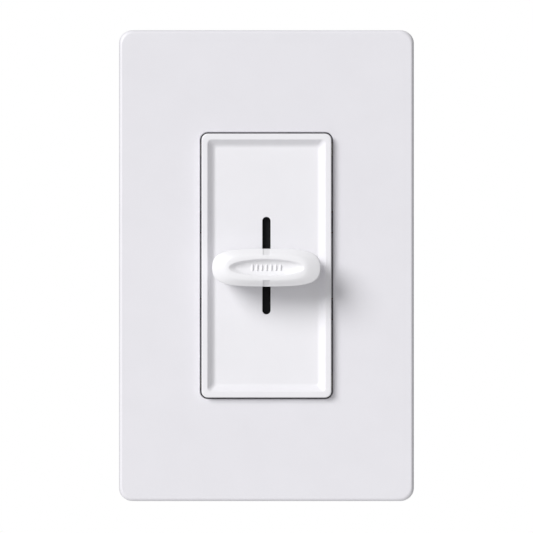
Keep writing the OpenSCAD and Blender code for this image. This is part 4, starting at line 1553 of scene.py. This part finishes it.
@dataclass
class Housing:
    """The moulded back housing and its side terminals.

    Attributes:
        shop: the frame and the palette.
        size: width, height and corner radius.
        wall: thickness of its walls.
        draft: how much each side leans in towards the back.
        panel: width, height and corner radius of the shallow panel in the back.
        boss: radius, x and z of the corner bosses, and radius and depth of their holes.
        terminal: y of the terminals' middle and half the distance between them.
        plate: size of a terminal plate.
        barrier_x: how far the barriers stand out.
        pin: radius, depth, x and z of the marks that the mould's ejector pins leave.
    """

    shop: Assembly
    size: tuple[float, float, float] = (42.6, 67.0, 2.6)
    wall: float = 1.8
    draft: float = 0.25
    panel: tuple[float, float, float] = (30.6, 51.0, 1.5)
    boss: tuple[float, float, float, float, float] = (2.4, 17.2, 29.4, 1.25, 9.0)
    terminal: tuple[float, float] = (21.0, 10.0)
    plate: float = 9.0
    barrier_x: float = 24.9
    pin: tuple[float, float, float, float] = (2.2, 0.5, 9.0, 17.0)

    def _shell(self, front: float, back: float) -> bpy.types.Object:
        """Loft the open box, from the floor inside over its rim to the panel in its back.

        Args:
            front: y of the open rim.
            back: y of the back face.

        Returns:
            The shell.
        """
        wide, tall, corner = self.size
        room_w, room_h = wide - 2 * self.wall, tall - 2 * self.wall
        lean = 2 * self.draft
        panel_w, panel_h, panel_r = self.panel
        return Loft((
            Section(room_w, room_h, back - self.wall, 0.8, 0.3, 3),
            Section(room_w, room_h, front, 0.8, 0.1, 2),
            Section(wide, tall, front, corner, 0.15, 2),
            Section(wide, tall, front + 3, corner),
            Section(wide - lean, tall - lean, back, corner, 1.0, 6),
            Section(panel_w, panel_h, back, panel_r, 0.12, 3),
            Section(panel_w - 0.3, panel_h - 0.3, back - 0.4, panel_r - 0.1, 0.1, 2),
        )).build("housing")

    def _bosses(self, shell: bpy.types.Object, front: float, back: float) -> None:
        """Fuse the corner bosses and drill their holes.

        Args:
            shell: the housing.
            front: y of the open rim.
            back: y of the back face.
        """
        radius, x, z, hole, deep = self.boss
        for size, start, end, how in (
            (radius, front + SKIN, back - 0.6, Merge.FUSE), (hole, -1.0, deep, Merge.CUT),
        ):
            stock = Bench.rod("boss", (0, start, 0), size, end - start, sides=32)
            for side in (-1, 1):
                for way in (-1, 1):
                    Bench.work_in(shell, Bench.copy(stock, (side * x, 0, way * z)), how)
            bpy.data.objects.remove(stock)

    def _terminal_bay(self, shell: bpy.types.Object, wide: float, back: float) -> None:
        """Add the barriers between the terminals and cut the terminals' recesses.

        Args:
            shell: the housing.
            wide: width of the housing.
            back: y of the back face.
        """
        y, z = self.terminal
        half, side = self.plate / 2, wide / 2
        gap = half + 0.2
        barrier = Bench.block("barrier", (side - 1.4, y - half - 1, -0.8), (self.barrier_x, back - 1, 0.8))
        Bench.edit(barrier)
        Bench.choose(Element.EDGE, lambda p, n: p.x > self.barrier_x - 0.01 and abs(n.z) > 0.9)
        bpy.ops.mesh.bevel(offset=1.2 * MM, segments=5, affect="EDGES")
        Bench.clear()
        Bench.ease(barrier, 0.14, 2)
        for place in (-z - half - 2, 0, z + half + 2):
            Bench.work_in(shell, Bench.copy(barrier, (0, 0, place)), Merge.FUSE)
        bpy.data.objects.remove(barrier)
        cuts = (
            Bench.block("bay", (side - 1, y - gap, -gap), (side + 10, y + gap, gap)),
            Bench.block("tail", (0, y - gap, -1.7), (side + 1, y - half + 1, 1.7)),
            Bench.rod("bore", (0, y, 0), 2.05, 40, Axis.X, 32),
        )
        for cut in cuts:
            for way in (-1, 1):
                Bench.work_in(shell, Bench.copy(cut, (0, 0, way * z)), Merge.CUT)
            bpy.data.objects.remove(cut)

    def _marks(self, shell: bpy.types.Object, back: float) -> None:
        """Sink the round marks that the mould's ejector pins leave in the back.

        Args:
            shell: the housing.
            back: y of the back face.
        """
        radius, deep, across, up = self.pin
        pin = Bench.rod("pin", (0, back - deep, 0), radius, 2, sides=40)
        for x in (-across, across):
            for z in (-up, up):
                Bench.work_in(shell, Bench.copy(pin, (x, 0, z)), Merge.CUT)
        bpy.data.objects.remove(pin)

    def build_terminals(self) -> None:
        """Build the two terminal screws and carry the plates over."""
        low, high = span("terminal_screws")
        head = 2.2
        screw = Screw(3.7, head, 0.5, 1.9, 1.7, 1.2, high.x - head - low.x).build("screw")
        y, z = self.terminal
        pair = [
            Bench.copy(Bench.copy(screw, turn=90, axis=Axis.Z), (high.x - head, y, side * z))
            for side in (-1, 1)
        ]
        self.shop.stand_in(Bench.join("terminal_screws", pair), "terminal_screws")
        for spare in [o for o in bpy.data.objects if o.name.startswith("screw") and "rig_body" not in o]:
            bpy.data.objects.remove(spare)
        self.shop.carry("terminal_plates", 0.1)

    def build(self) -> None:
        """Build and dress the housing."""
        low, high = span("back_housing")
        shell = self._shell(low.y, high.y)
        self._bosses(shell, low.y, high.y)
        self._terminal_bay(shell, self.size[0], high.y)
        self._marks(shell, high.y)
        Bench.tidy(shell)
        Bench.polish(shell)
        self.shop.stand_in(shell, "back_housing")
        self.build_terminals()


@dataclass
class Works:
    """The moving carrier and the board, which keep their CAD shapes.

    Attributes:
        shop: the frame and the palette.
        edges: how far the edges of each node are rounded.
    """

    shop: Assembly
    edges: tuple[tuple[str, float], ...] = (
        ("slide_actuator", 0.12), ("dust_shutter", 0.05), ("drag_spring", 0.03),
        ("wiper_carrier", 0.15), ("wiper_contact", 0.04), ("switch_bridge", 0.06),
        ("insulator_sheet", 0.04), ("board_spacer", 0.1), ("circuit_board", 0.06),
        ("resistance_track", 0.02), ("collector_strip", 0.02), ("switch_rails", 0.06),
        ("solder_joints", 0.04), ("triac_body", 0.12), ("triac_tab", 0.08), ("triac_leads", 0.04),
        ("triac_pad", 0.03), ("triac_rivet", 0.1), ("choke_core", 0.8), ("choke_winding", 0.12),
        ("filter_capacitor", 0.5), ("timing_capacitor", 0.7), ("diac", 0.3), ("resistors", 0.35),
        ("component_leads", 0.04), ("trimmer_base", 0.15), ("trimmer_rotor", 0.12),
    )

    def build(self) -> None:
        """Dress every node of the works."""
        for node, edge in self.edges:
            self.shop.carry(node, edge)


@dataclass
class Studio:
    """Camera, lights and floor.

    Attributes:
        distance: how far the camera stands in front of the wall surface.
        lens: focal length on a 36 mm sensor.
        aim: how far the camera stands to the right and up.
        suns: name, direction from the object, strength and width in radians of each light.
        fill: strength of the even light from all round.
        floor_z: height of the floor, in metres.
        floor_r: radius of the floor, in metres.
    """

    distance: float = 545.0
    lens: float = 145.0
    aim: tuple[float, float] = (0.01, -0.22)
    suns: tuple[tuple[str, tuple[float, float, float], float, float], ...] = (
        ("key", (-0.60, -0.67, 0.44), 2.68, 0.54),
        ("bounce", (-0.3, -0.9, 0.3), 0.3, 1.5),
        ("back", (0.35, 0.75, 0.56), 0.35, 0.8),
    )
    fill: float = 0.275
    floor_z: float = -0.6
    floor_r: float = 1.6

    def set_camera(self) -> None:
        """Place the camera straight in front."""
        Bench.clear()
        across, up = self.aim
        bpy.ops.object.camera_add(
            location=(across * MM, -self.distance * MM, up * MM), rotation=(math.pi / 2, 0, 0)
        )
        camera = bpy.context.object
        camera.name = "camera"
        camera.data.lens = self.lens
        camera.data.sensor_width = 36
        camera.data.clip_start, camera.data.clip_end = 0.01, 20
        bpy.context.scene.camera = camera

    def set_lights(self) -> None:
        """Hang the soft lights and set the even light round the scene."""
        Bench.clear()
        for name, way, strength, width in self.suns:
            turn = Vector(way).to_track_quat("Z", "Y").to_euler()
            bpy.ops.object.light_add(type="SUN", location=Vector(way), rotation=turn)
            sun = bpy.context.object
            sun.name = name
            sun.data.energy = strength
            sun.data.angle = width
        world = bpy.data.worlds.new("studio")
        bpy.context.scene.world = world
        world.use_nodes = True
        tree = world.node_tree
        even = tree.nodes["Background"]
        even.inputs["Color"].default_value = (1, 1, 1, 1)
        even.inputs["Strength"].default_value = self.fill
        backdrop = tree.nodes.new("ShaderNodeBackground")
        backdrop.inputs["Color"].default_value = (1, 1, 1, 1)
        seen = tree.nodes.new("ShaderNodeLightPath")
        mix = tree.nodes.new("ShaderNodeMixShader")
        tree.links.new(seen.outputs["Is Camera Ray"], mix.inputs[0])
        tree.links.new(even.outputs[0], mix.inputs[1])
        tree.links.new(backdrop.outputs[0], mix.inputs[2])
        tree.links.new(mix.outputs[0], tree.nodes["World Output"].inputs["Surface"])

    def set_floor(self) -> None:
        """Lay a pale floor under the object."""
        Bench.clear()
        bpy.ops.mesh.primitive_circle_add(
            vertices=64, radius=self.floor_r, fill_type="NGON", location=(0, 0, self.floor_z)
        )
        floor = Bench.fix("floor")
        paint = Paint("floor_pale")
        paint.set(Base_Color=(0.92, 0.92, 0.92), Roughness=0.8)
        floor.data.materials.append(paint.material)

    def build(self) -> None:
        """Set the camera, the lights, the floor and the picture's tone."""
        self.set_camera()
        self.set_lights()
        self.set_floor()
        bpy.context.scene.view_settings.view_transform = "Standard"


def main() -> None:
    """Load the frame, build every sub-assembly and light it."""
    logging.basicConfig(level=logging.INFO, format="%(message)s")
    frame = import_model()
    Bench.clear()
    studio = Studio()
    studio.build()
    shop = Assembly(Palette(), frame["nodes"])
    for part in (Wallplate(shop), Faceplate(shop), Knob(shop), Mounting(shop), Housing(shop), Works(shop)):
        LOG.info("building %s", type(part).__name__)
        part.build()
    Bench.clear()


if __name__ == "__main__":
    main()
